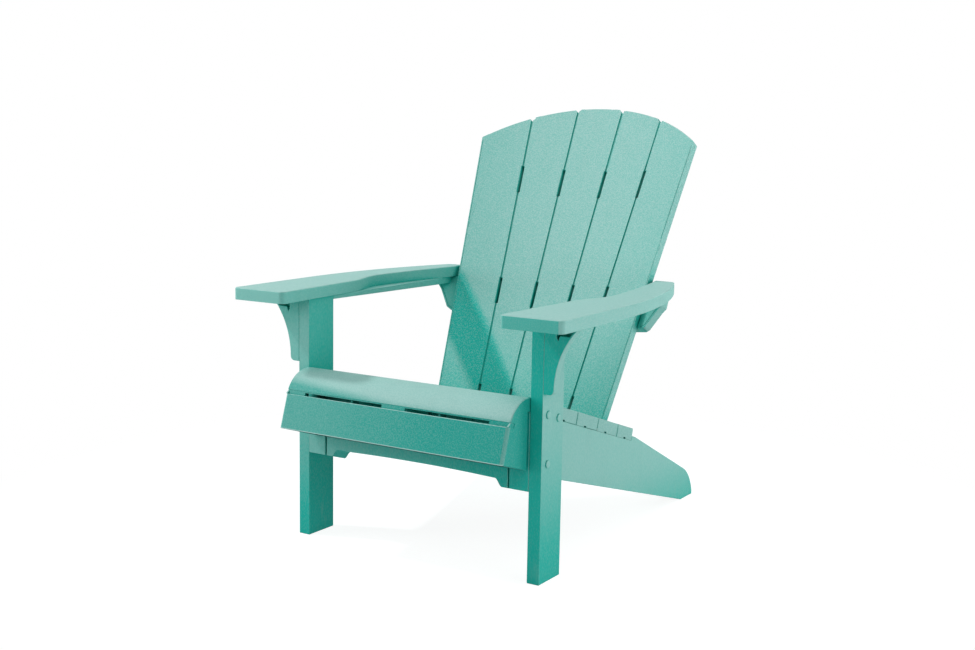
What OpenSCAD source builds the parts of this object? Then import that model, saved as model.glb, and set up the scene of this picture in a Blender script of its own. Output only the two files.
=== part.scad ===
// Adirondack chair in moulded resin: a one-piece fan back and a one-piece seat with a rolled
// front, screwed to two side rails, two front legs, three crossbars and two paddle arms.
// Millimetres. The sitter faces -Y, the sitter's left is +X, and the floor is Z = 0.

/* [Overall] */
// Clear width between the front legs, which is also the width over the side rails.
inner_w = 560; // [540:5:600]
// Height of the arm tops at the front face of the legs.
arm_top_h = 555.5; // [540:0.5:580]
// Wall of every moulded shell.
wall = 5; // [4:0.5:6]
// Gap between moulded pieces that do not press on each other.
play = 0.5; // [0.3:0.1:0.8]
// Gap between curved faces of two pieces that sit against each other.
seat_gap = 0.3; // [0.2:0.1:0.5]

/* [Front legs] */
// Thickness of a front leg, across the chair.
leg_t = 28.5; // [26:0.5:32]
// Depth of a front leg, from front to back.
leg_d = 85; // [78:1:95]

/* [Side rails] */
// Thickness of a side rail, across the chair.
rail_t = 45; // [42:0.5:50]
// Height of the rail's underside at its front face.
rail_front_h = 189; // [182:1:198]
// Slope of the rail underside, in degrees.
rail_slope = 16.5; // [15.5:0.5:17.5]
// Where that slope starts, behind the front face of the legs.
knee_y = 125; // [115:1:135]
// Front edge of the rear foot, behind the front face of the legs.
foot_y = 755; // [740:1:770]
// Rear end of the foot, behind the front face of the legs.
foot_end_y = 822; // [815:1:835]
// Height of the upright end of the foot.
foot_end_h = 9; // [5:1:14]
// Where the top edge of the tail starts to curve down to the foot.
tail_y = 765; // [755:1:775]
// Height of the top edge of the tail at that place.
tail_h = 78; // [72:1:84]
// Rail top below the seat surface behind the seat.
tail_drop = 17.5; // [15:0.5:22]
// Length of the level stretch of rail top behind the seat.
tail_flat = 17; // [12:1:24]

/* [Seat] */
// Height of the seat surface at the front face of the legs.
seat_h = 380.6; // [370:0.2:395]
// Backward slope of the seat, in degrees.
seat_tilt = 17.5; // [16.5:0.5:18.5]
// Length of the seat along its slope, behind the front face of the legs.
seat_len = 495; // [485:1:505]
// Radius of the rolled front edge.
roll_r = 70; // [62:1:74]
// Place of the roll's centre along the slope.
roll_u = 11.6; // [9:0.2:14]
// Depth of the roll below the seat surface, where the shadow gap starts.
roll_drop = 58.5; // [55:0.5:61]
// Height of the shadow gap between the roll and the apron.
gap_h = 9.5; // [7:0.5:11]
// How far the shadow gap is set back from the apron face.
gap_set = 5; // [4:0.5:6]
// Front face of the apron along the slope.
apron_u = -61.5; // [-64:0.5:-60]
// Depth of the apron's lower edge below the seat surface.
apron_drop = 143; // [135:1:150]
// Radius of the apron's upright corners.
apron_r = 10; // [7:0.5:13]
// Clear space between the apron's side walls and the front legs.
cheek_gap = 8; // [6:1:12]
// Height of the side skirts that cover the rails.
skirt_h = 28.2; // [24:0.2:32]
// Depth of the ribs under the seat.
seat_rib_h = 20; // [15:1:24]
// Distance from the leg's front face to the first seat groove, along the slope.
seat_groove_u = 112.6; // [108:0.2:118]
// Distance from one seat groove to the next.
seat_pitch = 100.7; // [98:0.1:102]
// Width of the seat grooves.
seat_groove_w = 3.6; // [3:0.2:5]
// Depth of the seat grooves.
seat_groove_d = 2; // [1.5:0.1:2.5]
// Inner end of the two drain slots in the shadow gap.
drain_in = 29; // [24:1:40]
// Outer end of the two drain slots in the shadow gap.
drain_out = 231; // [215:1:240]
// Distance of the apron ribs from the middle.
apron_rib_x = 110; // [90:1:130]
// Length of a clip notch in the lower edge of the skirt.
clip_w = 10; // [8:1:14]
// Height of a clip notch.
clip_h = 3.6; // [2:0.2:4]

/* [Back] */
// Recline of the back from the upright, in degrees.
back_tilt = 27; // [26:0.5:28]
// Height of the reference line on the back's face.
back_ref_h = 320; // [315:1:325]
// Place of the reference line behind the front face of the legs.
back_y = 485; // [480:1:490]
// Half width of the back at the reference line.
back_half_w = 235.4; // [230:0.2:238]
// Distance below the reference line where the two sides would meet.
side_drop = 2404; // [2300:1:2600]
// Distance below the reference line where the grooves would meet.
fan_drop = 1765; // [1700:1:1900]
// Inner groove's distance from the middle at the reference line.
groove_in = 44.5; // [42:0.5:47]
// Outer groove's distance from the middle at the reference line.
groove_out = 130.6; // [127:0.2:134]
// Top of the back above the reference line, along the slope.
back_top = 713.5; // [690:0.5:730]
// Bottom of the back below the reference line, along the slope.
back_low = 165; // [158:1:170]
// Radius of the arched top.
arch_r = 450; // [430:1:480]
// Radius of the hollow front face.
curve_r = 920; // [860:5:1000]
// Depth of the back's edge, from front to back.
back_d = 23; // [21:0.5:27]
// Width of the grooves between the slats.
groove_w = 4.5; // [4:0.1:6]
// Depth of the grooves between the slats.
groove_d = 3; // [2:0.1:3.5]
// Lower and upper end of the upper through slots, above the reference line.
upper_slot = [469, 540]; // [450:1:560]
// Lower and upper end of the middle through slots.
middle_slot = [171, 237]; // [160:1:250]
// Lower and upper end of the through slots below the reference line.
lower_slot = [-107, -38.7]; // [-120:0.1:-30]
// Width of the through slots in the grooves.
slot_w = 7.5; // [6:0.1:9]
// Half width of the rib behind each groove.
groove_rib = 8; // [7:0.2:10]
// Distance of the fine edge groove from the edge of a moulded face.
edge_rim = 2.5; // [2:0.1:4]
// Width and depth of that groove.
edge_groove = 1.1; // [0.8:0.1:2]
// Side of the square notch where two slat tops meet.
top_notch = 11; // [8:0.5:13]
// Radius of the outer top corners.
corner_r = 9; // [6:0.5:12]
// Solid rim under the arched top.
top_rim = 15; // [12:0.5:20]

/* [Arms] */
// Thickness of the arms.
arm_t = 26; // [24:0.5:30]
// Rise of the arms towards the back, in degrees.
arm_tilt = 0.3; // [0:0.1:0.6]
// Overhang of the arms in front of the legs.
arm_front = 103; // [90:1:115]
// Rear end of the arms behind the front face of the legs.
arm_back = 598; // [594:1:606]
// Outer edge of an arm, measured outwards from the clear width.
arm_out = 125; // [120:1:135]
// Inner edge of an arm at the front, measured inwards from the clear width.
arm_in = 14; // [9:0.5:16]
// Where the outer edge starts to sweep in.
sweep_y = 150; // [140:1:165]
// Radius of that sweep.
sweep_r = 1120; // [1080:5:1200]
// Place of the narrowest point of the inner edge.
waist_y = 275; // [265:1:285]
// Length of the curve that leads into the waist.
neck_len = 115; // [100:5:130]
// Inner edge of an arm at the waist, measured outwards from the clear width.
waist_x = 28; // [22:0.5:30]
// Inner edge of an arm at its rear end, measured inwards from the clear width.
arm_tail_x = 17; // [14:0.5:18]
// Radius of the outer corners.
arm_corner_r = 12; // [8:1:20]

/* [Front brackets] */
// Thickness of a front bracket, from front to back.
bracket_t = 20; // [18:1:24]
// Height of a bracket's lower end.
bracket_h = 389.5; // [382:0.5:396]
// Reach of a bracket at its lower end, outwards from the leg.
bracket_reach = 24; // [21:0.5:28]
// Radius of the bracket's hollow outer edge.
bracket_r = 180; // [170:1:200]
// Radius of the bracket's lower corner.
bracket_corner_r = 10; // [8:1:12]
// Height of the window under the arm.
window_h = 21; // [16:1:24]

/* [Under-arm strips] */
// Depth of an arm support rail below the arm at the leg.
strip_front_h = 9; // [8:0.5:12]
// Depth of an arm support rail below the arm at the back.
strip_rear_h = 17; // [13:0.5:20]

/* [Crossbars] */
// Height of the front crossbar's underside beside its ends.
cross_end_h = 205.5; // [200:0.5:212]
// Rise of its underside from there to the middle.
cross_arch = 3.5; // [1:0.5:6]
// Height of the front crossbar's top.
cross_top_h = 300; // [285:1:310]
// Depth of the front crossbar, from front to back.
cross_d = 47; // [42:1:52]
// Width of the slit between the crossbar's face and a rail end.
cross_slit = 4; // [2.5:0.1:4.5]
// Solid end of a crossbar, where a screw holds.
end_block = 22; // [20:1:26]
// Half width of the rear arm crossbar, outwards from the clear width.
wing_out = 28; // [25:0.5:30]
// Lower edge of the rear arm crossbar above the reference line.
wing_low = 140; // [136:0.5:146]
// Top of the rear arm crossbar between the arms, above the reference line.
wing_mid_top = 222; // [215:1:224]
// Depth of the rear arm crossbar behind the back.
wing_d = 21; // [19:0.5:25]
// How far its wings stand forward beside the back.
wing_step = 7; // [4:0.5:9]
// Top of the lower back crossbar below the reference line.
lower_top = 100; // [96:1:106]
// Depth of the lower back crossbar at its middle.
lower_d = 22; // [18:1:26]

/* [Fasteners] */
// Radius of the leg bolts.
bolt_r = 4; // [3:0.5:4.5]
// Radius of a leg bolt's head.
bolt_head_r = 6.5; // [6:0.1:7]
// Radius of a bolt cap.
cap_r = 7.8; // [7.6:0.1:9]
// How far a bolt cap stands out of the leg.
cap_h = 3; // [2:0.5:4]
// Radius of the screws.
screw_r = 2.5; // [2:0.1:3]
// Radius of a screw head.
head_r = 5; // [4.5:0.1:5.5]
// Height of a screw head.
head_h = 3; // [2.5:0.1:3.5]

/* [Hidden] */
$fn = 64;
half_w = inner_w / 2;
leg_out = half_w + leg_t;
rail_in = half_w - rail_t;
skirt_out = half_w - play;
// A rounding reaches this far past the two faces that it joins.
meet = 0.2;
resin = [0.45, 0.72, 0.68];
steel = [0.75, 0.76, 0.78];

// A point of the seat's own slope: u runs down the slope, w is the height above the surface.
function seat_pt(u, w) = [
    u * cos(seat_tilt) + w * sin(seat_tilt),
    seat_h - u * sin(seat_tilt) + w * cos(seat_tilt)
];
// A point of the back's own slope: d runs backwards, s runs up the slope.
function back_pt(d, s) = [
    back_y + d * cos(back_tilt) + s * sin(back_tilt),
    back_ref_h - d * sin(back_tilt) + s * cos(back_tilt)
];
// Depth of a curve of the back's family, r from the common axis, at x from the middle.
function curve_at(r, x) = sqrt(r * r - x * x) - curve_r;
// Underside of the arms.
function arm_under(y) = arm_top_h - arm_t / cos(arm_tilt) + y * tan(arm_tilt);
// Points of an arc.
function arc(c, r, a0, a1, n) = [
    for (i = [0:n]) c + r * [cos(a0 + (a1 - a0) * i / n), sin(a0 + (a1 - a0) * i / n)]
];

chair_front = min(seat_pt(apron_u, -apron_drop)[0], -arm_front);
chair_rear = max(back_pt(back_d, back_top)[0], foot_end_y);
module placed() { translate([0, -(chair_front + chair_rear) / 2, 0]) children(); }
module other_side() { mirror([1, 0, 0]) children(); }
module both_sides() {
    children();
    other_side() children();
}

// Extrudes a front-to-back and up profile across the chair, from x0 to x1.
module across(x0, x1) {
    translate([x0, 0, 0]) rotate([90, 0, 90]) linear_extrude(x1 - x0) children();
}
// Extrudes a sideways and up profile from y0 back to y1.
module along(y0, y1) {
    translate([0, y1, 0]) rotate([90, 0, 0]) linear_extrude(y1 - y0) children();
}
module seat_frame() { translate([0, 0, seat_h]) rotate([-seat_tilt, 0, 0]) children(); }
module back_frame() { translate([0, back_y, back_ref_h]) rotate([-back_tilt, 0, 0]) children(); }
module arm_frame() { translate([0, 0, arm_top_h]) rotate([arm_tilt, 0, 0]) children(); }

/* ---- fasteners and their holes ---- */
bolt_ys = [32, 76];
bolt_w = -27;
bolt_seat = 8;
bolt_tip = 36;
cross_bolt_rise = 56;
cross_bolt = [cross_d / 2, rail_front_h + cross_bolt_rise];
rail_bolts = [for (u = bolt_ys) seat_pt(u, bolt_w)];
hole_r = bolt_r + seat_gap;
counter_r = bolt_head_r + 2 * seat_gap;

// A rod across the chair from x0 to x1 at a front-to-back and up place.
module cross_rod(p, r, x0, x1) {
    translate([x0, p[0], p[1]]) rotate([0, 90, 0]) cylinder(r = r, h = x1 - x0);
}
module bolt(p, reach) {
    cross_rod(p, bolt_r, leg_out - bolt_seat - reach, leg_out - bolt_seat + 1);
    cross_rod(p, bolt_head_r, leg_out - bolt_seat, leg_out - cap_h);
}
rail_reach = leg_t - bolt_seat + bolt_tip;
cross_reach = leg_t - bolt_seat + rail_t + end_block - 4;
module bolt_hole(p, reach) { cross_rod(p, hole_r, leg_out - bolt_seat - reach - 1, leg_out + 1); }
module bolt_holes() {
    for (p = rail_bolts) bolt_hole(p, rail_reach);
    bolt_hole(cross_bolt, cross_reach);
}

// A screw along +Z with the underside of its head at the origin, and the hole it needs.
module screw(reach) {
    cylinder(r = screw_r, h = reach);
    translate([0, 0, -head_h]) cylinder(r = head_r, h = head_h);
}
module screw_hole(reach) { cylinder(r = screw_r + seat_gap, h = reach + 1); }

/* ---- side rails ---- */
function rail_bottom(y) = max(0, (foot_y - y) * tan(rail_slope));
rail_step_u = seat_len - wall;
tail_start = seat_pt(seat_len + tail_flat, -tail_drop);
tail_end = [tail_y, tail_h];
foot_end = [foot_end_y, foot_end_h];
tail_dir = (tail_end - tail_start) / norm(tail_end - tail_start);
tail_normal = [tail_dir[1], -tail_dir[0]];
tail_r = pow(norm(foot_end - tail_end), 2) / (2 * (foot_end - tail_end) * tail_normal);
tail_centre = tail_end + tail_r * tail_normal;
tail_a0 = atan2(tail_end[1] - tail_centre[1], tail_end[0] - tail_centre[0]);
tail_a1 = atan2(foot_end[1] - tail_centre[1], foot_end[0] - tail_centre[0]);
function tail_top(y) = tail_end[1] + (y - tail_end[0]) * tail_dir[1] / tail_dir[0];

module rail_profile() {
    polygon(concat(
        [[0, rail_front_h], [cross_d, rail_front_h - cross_d * tan(seat_tilt)]],
        [[knee_y, rail_bottom(knee_y)], [foot_y, 0], [foot_end_y, 0]],
        arc(tail_centre, tail_r, tail_a1, tail_a0, 10),
        [tail_start, seat_pt(rail_step_u - seat_gap, -tail_drop), seat_pt(rail_step_u - seat_gap, -wall)],
        [seat_pt(roll_u + 3, -wall), [0, seat_pt(roll_u, -wall)[1] - 8]]
    ));
}
pocket_y0 = knee_y + 10;
pocket_y1 = foot_y - 14;
under_skirt = skirt_h + wall + 1;
module rail_pocket_profile() {
    polygon([
        [pocket_y0, rail_bottom(pocket_y0) + wall], [pocket_y1, rail_bottom(pocket_y1) + wall],
        [pocket_y1, tail_top(pocket_y1) - wall], [tail_start[0], tail_start[1] - wall - 6],
        seat_pt(rail_step_u - 20, -under_skirt), seat_pt(pocket_y0 / cos(seat_tilt) + 12, -under_skirt)
    ]);
}
rail_ribs = 6;
module rail_pocket() {
    difference() {
        across(rail_in - 1, half_w - wall) rail_pocket_profile();
        for (i = [1:rail_ribs])
            translate([0, pocket_y0 + (pocket_y1 - pocket_y0) * i / (rail_ribs + 1), 0])
                cube([inner_w, wall, 2 * seat_h], center = true);
        lower_end_block(8);
    }
}
module side_rail() {
    difference() {
        across(rail_in, half_w) rail_profile();
        rail_pocket();
        seat_frame()
            translate([skirt_out - wall - seat_gap, -roll_r, -skirt_h - seat_gap])
                cube([rail_t, seat_len + roll_r + seat_gap, skirt_h + 20]);
        bolt_holes();
        lower_screws_at() screw_hole(lower_reach);
    }
}

/* ---- front legs ---- */
module front_leg() {
    difference() {
        across(half_w, leg_out)
            polygon([[0, 0], [leg_d, 0], [leg_d, arm_under(leg_d)], [0, arm_under(0)]]);
        bolt_holes();
        for (p = concat(rail_bolts, [cross_bolt])) cross_rod(p, counter_r, leg_out - bolt_seat, leg_out + 1);
        bracket_screws_at() screw_hole(bracket_reach_in);
    }
}

/* ---- seat ---- */
roll_c = [roll_u, -roll_r];
roll_a = 180 - asin((roll_r - roll_drop) / roll_r);
cheek_rear = -cheek_gap;
function slope_u(y, w) = (y - w * sin(seat_tilt)) / cos(seat_tilt);
web_t = wall;
drain_h = 6.5;
crease_d = 1;
crease_len = 20;
module cheek_profile() {
    polygon(concat(
        arc(roll_c, roll_r - wall / 2, 90, roll_a, 14),
        [[apron_u, -roll_drop - gap_h], [apron_u, -apron_drop]],
        [[slope_u(cheek_rear, -apron_drop), -apron_drop], [slope_u(cheek_rear, -skirt_h), -skirt_h]],
        [[roll_u + 12, -skirt_h], [roll_u + 12, 0]]
    ));
}
module roll_rod(r, reach) {
    translate([-reach, roll_u, -roll_r]) rotate([0, 90, 0]) cylinder(r = r, h = 2 * reach);
}
module seat_shell() {
    // Flat top, roll, recessed web of the shadow gap, and apron.
    translate([-skirt_out, roll_u, -wall]) cube([2 * skirt_out, seat_len - roll_u, wall]);
    intersection() {
        difference() {
            roll_rod(roll_r, skirt_out);
            roll_rod(roll_r - wall, skirt_out + 1);
        }
        translate([-skirt_out, roll_u - 2 * roll_r, -roll_drop])
            cube([2 * skirt_out, 2 * roll_r, 2 * roll_r]);
    }
    translate([-skirt_out, apron_u + gap_set, -roll_drop - gap_h - 2])
        cube([2 * skirt_out, web_t, gap_h + 5]);
    translate([-skirt_out, apron_u, -apron_drop])
        cube([2 * skirt_out, wall + gap_set - 4, apron_drop - roll_drop - gap_h]);
    for (x = [-skirt_out, skirt_out - wall]) {
        across(x, x + wall) cheek_profile();
        translate([x, 0, -skirt_h]) cube([wall, seat_len, skirt_h]);
    }
    for (x = [-skirt_out, rail_in])
        translate([x, seat_len - wall, -tail_drop + seat_gap])
            cube([skirt_out - rail_in, wall, tail_drop - seat_gap]);
    // Ribs of the underside, clear of the rails.
    for (u = [seat_groove_u - seat_pitch / 2 : seat_pitch / 2 : seat_len - seat_pitch / 2])
        translate([-rail_in + play, u - 2, -seat_rib_h]) cube([2 * (rail_in - play), 4, seat_rib_h - 1]);
    for (x = [-apron_rib_x, 0, apron_rib_x])
        translate([x - 2, roll_u, -seat_rib_h]) cube([4, seat_len - roll_u - wall, seat_rib_h - 1]);
    for (x = [-apron_rib_x, apron_rib_x])
        intersection() {
            across(x - 2, x + 2) cheek_profile();
            translate([x - 3, apron_u + 2, -apron_drop + 12]) cube([6, 32, apron_drop]);
        }
}
clip_shift = 8;
module seat_cuts() {
    for (u = [seat_groove_u : seat_pitch : seat_len - seat_pitch / 2]) {
        translate([-half_w, u - seat_groove_w / 2, -seat_groove_d]) cube([inner_w, seat_groove_w, 10]);
        for (x = [-skirt_out - 10, skirt_out - seat_groove_d])
            translate([x, u - seat_groove_w / 2, -skirt_h - 1])
                cube([10 + seat_groove_d, seat_groove_w, 2 * skirt_h]);
    }
    for (i = [0 : 3])
        translate([-half_w, seat_groove_u + seat_pitch * (i + 0.5) - clip_shift - clip_w / 2, -skirt_h - 1])
            cube([inner_w, clip_w, clip_h + 1]);
    for (x = [-skirt_out - crease_d, skirt_out - crease_d])
        translate([x, apron_u - 10, -roll_drop - gap_h]) cube([2 * crease_d, crease_len + 10, gap_h]);
    for (x = [-drain_out, drain_in])
        translate([x, apron_u - 10, -roll_drop - gap_h + 0.5])
            cube([drain_out - drain_in, gap_set + web_t + 10.5, drain_h]);
    for (k = [-1, 1]) apron_corner(k);
}
// What the rounding of one upright corner of the apron takes away.
module apron_corner(k) {
    x = skirt_out - apron_r;
    difference() {
        translate([min(k * x, k * (skirt_out + 1)), apron_u - 1, -apron_drop - 1])
            cube([apron_r + 1, apron_r + 1, apron_drop + 1 - roll_drop - gap_h]);
        translate([k * x, apron_u + apron_r, -apron_drop - 2])
            cylinder(r = apron_r + meet, h = apron_drop, $fn = 96);
    }
}
module back_clearance() {
    // Everything behind the face of the back, over the back's width.
    back_frame() difference() {
        back_prism(-2);
        curve_rod(curve_r - 1);
    }
}
module seat_body() {
    difference() {
        seat_frame() difference() {
            seat_shell();
            seat_cuts();
        }
        both_sides() for (p = rail_bolts) cross_rod(p, hole_r + 2, half_w - rail_t, half_w + 1);
        back_clearance();
    }
}

/* ---- back ---- */
prism_y = 120;
boss_r = 9;
function side_x(s) = back_half_w * (1 + s / side_drop);
function fan_x(x, s) = x * (1 + s / fan_drop);
arch_c = back_top - arch_r;
module curve_rod(r) {
    translate([0, -curve_r, -2 * back_low]) cylinder(r = r, h = back_top + 4 * back_low, $fn = 128);
}
module curve_band(d0, d1) { difference() { curve_rod(curve_r + d1); curve_rod(curve_r + d0); } }
// A prism through the back, between two lines given by their x at the bottom and at the top.
module fan_prism(s0, s1, a0, b0, a1, b1) {
    translate([0, prism_y, 0]) rotate([90, 0, 0]) linear_extrude(2 * prism_y)
        polygon([[a0, s0], [b0, s0], [b1, s1], [a1, s1]]);
}
module back_prism(inset) {
    s0 = -back_low + inset;
    s1 = back_top + 20;
    fan_prism(s0, s1, inset - side_x(s0), side_x(s0) - inset, inset - side_x(s1), side_x(s1) - inset);
}
module arch_rod(inset) {
    translate([0, 0, arch_c]) rotate([90, 0, 0])
        cylinder(r = arch_r - inset, h = 2 * prism_y + 2, center = true, $fn = 128);
}
grooves = [-groove_out, -groove_in, groove_in, groove_out];
slat_edges = concat([-back_half_w], grooves, [back_half_w]);
slot_rows = [upper_slot, middle_slot, lower_slot];
back_ribs = [-60 : 120 : 540];
function arch_s(x) = arch_c + sqrt(arch_r * arch_r - x * x);
function notch_x(x) = fan_x(x, arch_s(fan_x(x, back_top)));
function slat_side(i, s, inset) =
    (i == 0 || i == 5) ? sign(slat_edges[i]) * (side_x(s) - inset) : fan_x(slat_edges[i], s);
corner_s = arch_s(side_x(arch_s(side_x(back_top))));

module groove_prism(x, w, s0, s1) {
    fan_prism(s0, s1, fan_x(x, s0) - w, fan_x(x, s0) + w, fan_x(x, s1) - w, fan_x(x, s1) + w);
}
// Centre of the rounding of an outer top corner.
side_a = atan(back_half_w / side_drop);
function round_x(s) = side_x(s) - corner_r / cos(side_a);
function round_s(x) = arch_c + sqrt(pow(arch_r - corner_r, 2) - x * x);
round_c = [for (s = round_s(round_x(round_s(round_x(round_s(round_x(corner_s))))))) [round_x(s), s]][0];
// What the rounding of one outer top corner takes away.
module back_corner(k) {
    n1 = 2 * corner_r * [cos(side_a), -sin(side_a)];
    n2 = 2 * corner_r * [round_c[0], round_c[1] - arch_c] / (arch_r - corner_r);
    difference() {
        translate([0, prism_y, 0]) rotate([90, 0, 0]) linear_extrude(2 * prism_y)
            polygon([for (v = [[0, 0], n1, n1 + n2, n2]) [k * (round_c + v)[0], (round_c + v)[1]]]);
        translate([k * round_c[0], 0, round_c[1]]) rotate([90, 0, 0])
            cylinder(r = corner_r + meet, h = 2 * prism_y + 2, center = true, $fn = 96);
    }
}
module side_groove(k) {
    s0 = -2 * back_low;
    s1 = round_c[1] - corner_r / 2;
    far = edge_rim + edge_groove;
    fan_prism(s0, s1, k * (side_x(s0) - far), k * (side_x(s0) - edge_rim),
        k * (side_x(s1) - far), k * (side_x(s1) - edge_rim));
}
module top_cut(x, s, size) {
    translate([x, 0, s]) rotate([0, 45, 0]) cube([size, 2 * prism_y, size], center = true);
}
module slat_pocket(i) {
    s0 = -back_low + wall;
    s1 = back_top;
    in_l = i == 0 ? 0 : groove_rib;
    in_r = i == 4 ? 0 : groove_rib;
    difference() {
        intersection() {
            fan_prism(s0, s1, slat_side(i, s0, wall) + in_l, slat_side(i + 1, s0, wall) - in_r,
                slat_side(i, s1, wall) + in_l, slat_side(i + 1, s1, wall) - in_r);
            arch_rod(top_rim);
            curve_band(wall, back_d + 2);
        }
        for (s = back_ribs) translate([0, 0, s]) cube([inner_w, 2 * prism_y, wall], center = true);
        back_bosses();
    }
}
module back_bosses() {
    for (p = concat(upper_spots, lower_spots))
        translate([p[0], 0, p[1]]) rotate([90, 0, 0]) cylinder(r = boss_r, h = 2 * prism_y, center = true);
}
module back_body() {
    back_frame() difference() {
        intersection() {
            back_prism(0);
            arch_rod(0);
            curve_band(0, back_d);
        }
        for (x = grooves) {
            intersection() {
                groove_prism(x, groove_w / 2, -2 * back_low, back_top + 20);
                curve_rod(curve_r + groove_d);
            }
            for (r = slot_rows) groove_prism(x, slot_w / 2, r[0], r[1]);
            top_cut(notch_x(x), arch_s(notch_x(x)), top_notch);
        }
        for (k = [-1, 1]) back_corner(k);
        intersection() {
            for (k = [-1, 1]) side_groove(k);
            curve_rod(curve_r + edge_groove);
        }
        for (i = [0 : 4]) slat_pocket(i);
        back_screws_at(upper_spots) screw_hole(back_reach);
        back_screws_at(lower_spots) screw_hole(back_reach);
    }
}

/* ---- crossbars behind the back ---- */
bar_in = back_d + seat_gap;
upper_spots = [for (k = [-0.85, -0.4, 0.4, 0.85]) [k * back_half_w, (wing_low + wing_mid_top) / 2]];
lower_spots = [for (k = [-0.75, -0.34, 0.34, 0.75]) [k * rail_in, -(back_low + lower_top) / 2]];
back_reach = 20;
// Flat seat for a screw head in a curved wall: the lowest place of the wall under the head.
function spot_d(x) = curve_at(curve_r + bar_in + wall + 1, abs(x) + head_r + 2) - 0.2;
module back_screws_at(spots) {
    for (p = spots) translate([p[0], spot_d(p[0]), p[1]]) rotate([90, 0, 0]) children();
}
module wing_prism(inset) {
    x = half_w + wing_out - inset;
    low = wing_low + inset;
    knee = [x - 9, low + 46];
    translate([0, prism_y, 0]) rotate([90, 0, 0]) linear_extrude(2 * prism_y)
        polygon([
            [-x, low + 56], [-knee[0], knee[1]], [-x + 34, low + 4.5], [-x + 42, low],
            [x - 42, low], [x - 34, low + 4.5], [knee[0], knee[1]], [x, low + 56],
            [x, back_top / 2], [arm_shoulder + inset, back_top / 2],
            [arm_shoulder + inset, wing_mid_top - inset], [-arm_shoulder - inset, wing_mid_top - inset],
            [-arm_shoulder - inset, back_top / 2], [-x, back_top / 2]
        ]);
}
arm_shoulder = half_w - arm_tail_x - 1;
wing_ribs = [48, 150, 232];
wing_rim = 3;
rib_t = 4;
// The space below the arms, lowered by a given amount.
module below_arms(drop) {
    across(-2 * half_w, 2 * half_w) polygon([
        [-half_w, 0], [3 * half_w, 0],
        [3 * half_w, arm_under(3 * half_w) - drop], [-half_w, arm_under(-half_w) - drop]
    ]);
}
module rear_crossbar() {
    difference() {
        intersection() {
            back_frame() difference() {
                intersection() { wing_prism(0); curve_band(bar_in - wing_step, bar_in + wing_d); }
                intersection() { back_prism(-3 * play); curve_rod(curve_r + bar_in); }
            }
            below_arms(0);
        }
        intersection() {
            back_frame() difference() {
                intersection() { wing_prism(wall); curve_band(bar_in + wall + 1, bar_in + wing_d + 2); }
                both_sides() for (x = wing_ribs)
                    translate([x, 0, 0]) cube([rib_t, 2 * prism_y, 2 * back_top], center = true);
            }
            below_arms(wall + 3);
        }
        back_frame() intersection() {
            difference() { wing_prism(wing_rim); wing_prism(wing_rim + edge_groove); back_prism(-2 * wall); }
            curve_rod(curve_r + bar_in - wing_step + edge_groove);
        }
        back_frame() {
            back_screws_at(upper_spots) screw_hole(back_reach);
            back_screws_at(upper_spots)
                translate([0, 0, -wing_d]) cylinder(r = head_r + 2 * seat_gap, h = wing_d);
        }
        both_sides() arm_screws_at() screw_hole(arm_reach);
    }
}
lower_far = back_d + lower_d;
// The box of the lower back crossbar, grown by a margin for the block inside each rail.
module lower_end_block(grow) {
    near = curve_at(curve_r + bar_in, rail_in);
    back_frame() translate([-half_w, near - grow, -back_low - grow])
        cube([inner_w, lower_far - near + 2 * grow, back_low - lower_top + 2 * grow]);
}
lower_reach = end_block + 18;
lower_screw_d = 14;
lower_ribs = [-128 : 128 : 128];
module lower_screws_at() {
    for (s = [-back_low + 20, -lower_top - 20])
        back_frame() translate([rail_in - end_block, lower_screw_d, s]) rotate([0, 90, 0]) children();
}
module lower_crossbar() {
    difference() {
        intersection() {
            lower_end_block(0);
            cube([2 * rail_in, 4 * inner_w, 4 * inner_w], center = true);
        }
        back_frame() curve_rod(curve_r + bar_in);
        back_frame() difference() {
            translate([-rail_in + end_block, -prism_y, -back_low + wall])
                cube([2 * (rail_in - end_block), 2 * prism_y, back_low - lower_top - 2 * wall]);
            curve_rod(curve_r + bar_in + wall + 1);
            for (x = lower_ribs) translate([x, 0, 0]) cube([rib_t, 2 * prism_y, 4 * back_low], center = true);
        }
        back_frame() {
            back_screws_at(lower_spots) screw_hole(back_reach);
            back_screws_at(lower_spots)
                translate([0, 0, -2 * lower_d]) cylinder(r = head_r + 2 * seat_gap, h = 2 * lower_d);
        }
        both_sides() lower_screws_at() screw_hole(lower_reach);
    }
}

/* ---- front crossbar ---- */
ogee_w = 16;
ogee_x = rail_in - 18;
ogee_in = ogee_x - ogee_w;
function smooth(t) = t * t * (3 - 2 * t);
// Height of the underside at the front face, at x from the middle.
function cross_under(x) =
    abs(x) > ogee_in
    ? cross_end_h - (cross_end_h - rail_front_h) * smooth(min(1, (abs(x) - ogee_in) / ogee_w))
    : cross_end_h + cross_arch * (1 - pow(x / ogee_in, 2));
// Distance below the seat surface of a height on the front face of the legs.
function below_seat(h) = (h - seat_h) * cos(seat_tilt);
ogee_xs = [for (i = [0 : 8]) ogee_x - ogee_w * i / 8];
arch_xs = [for (i = [1 : 15]) ogee_in * (1 - i / 8)];
under_xs = concat(ogee_xs, arch_xs, [for (i = [8 : -1 : 0]) -ogee_xs[i]]);
module cross_profile() {
    polygon(concat(
        [[rail_in, below_seat(cross_top_h)], [rail_in, below_seat(rail_front_h)]],
        [for (x = under_xs) [x, below_seat(cross_under(x))]],
        [[-rail_in, below_seat(rail_front_h)], [-rail_in, below_seat(cross_top_h)]]
    ));
}
module cross_pocket() {
    polygon(concat(
        [[ogee_in, below_seat(cross_top_h) - wall]],
        [for (x = concat([ogee_in], arch_xs, [-ogee_in])) [x, below_seat(cross_under(x)) + wall]],
        [[-ogee_in, below_seat(cross_top_h) - wall]]
    ));
}
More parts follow.
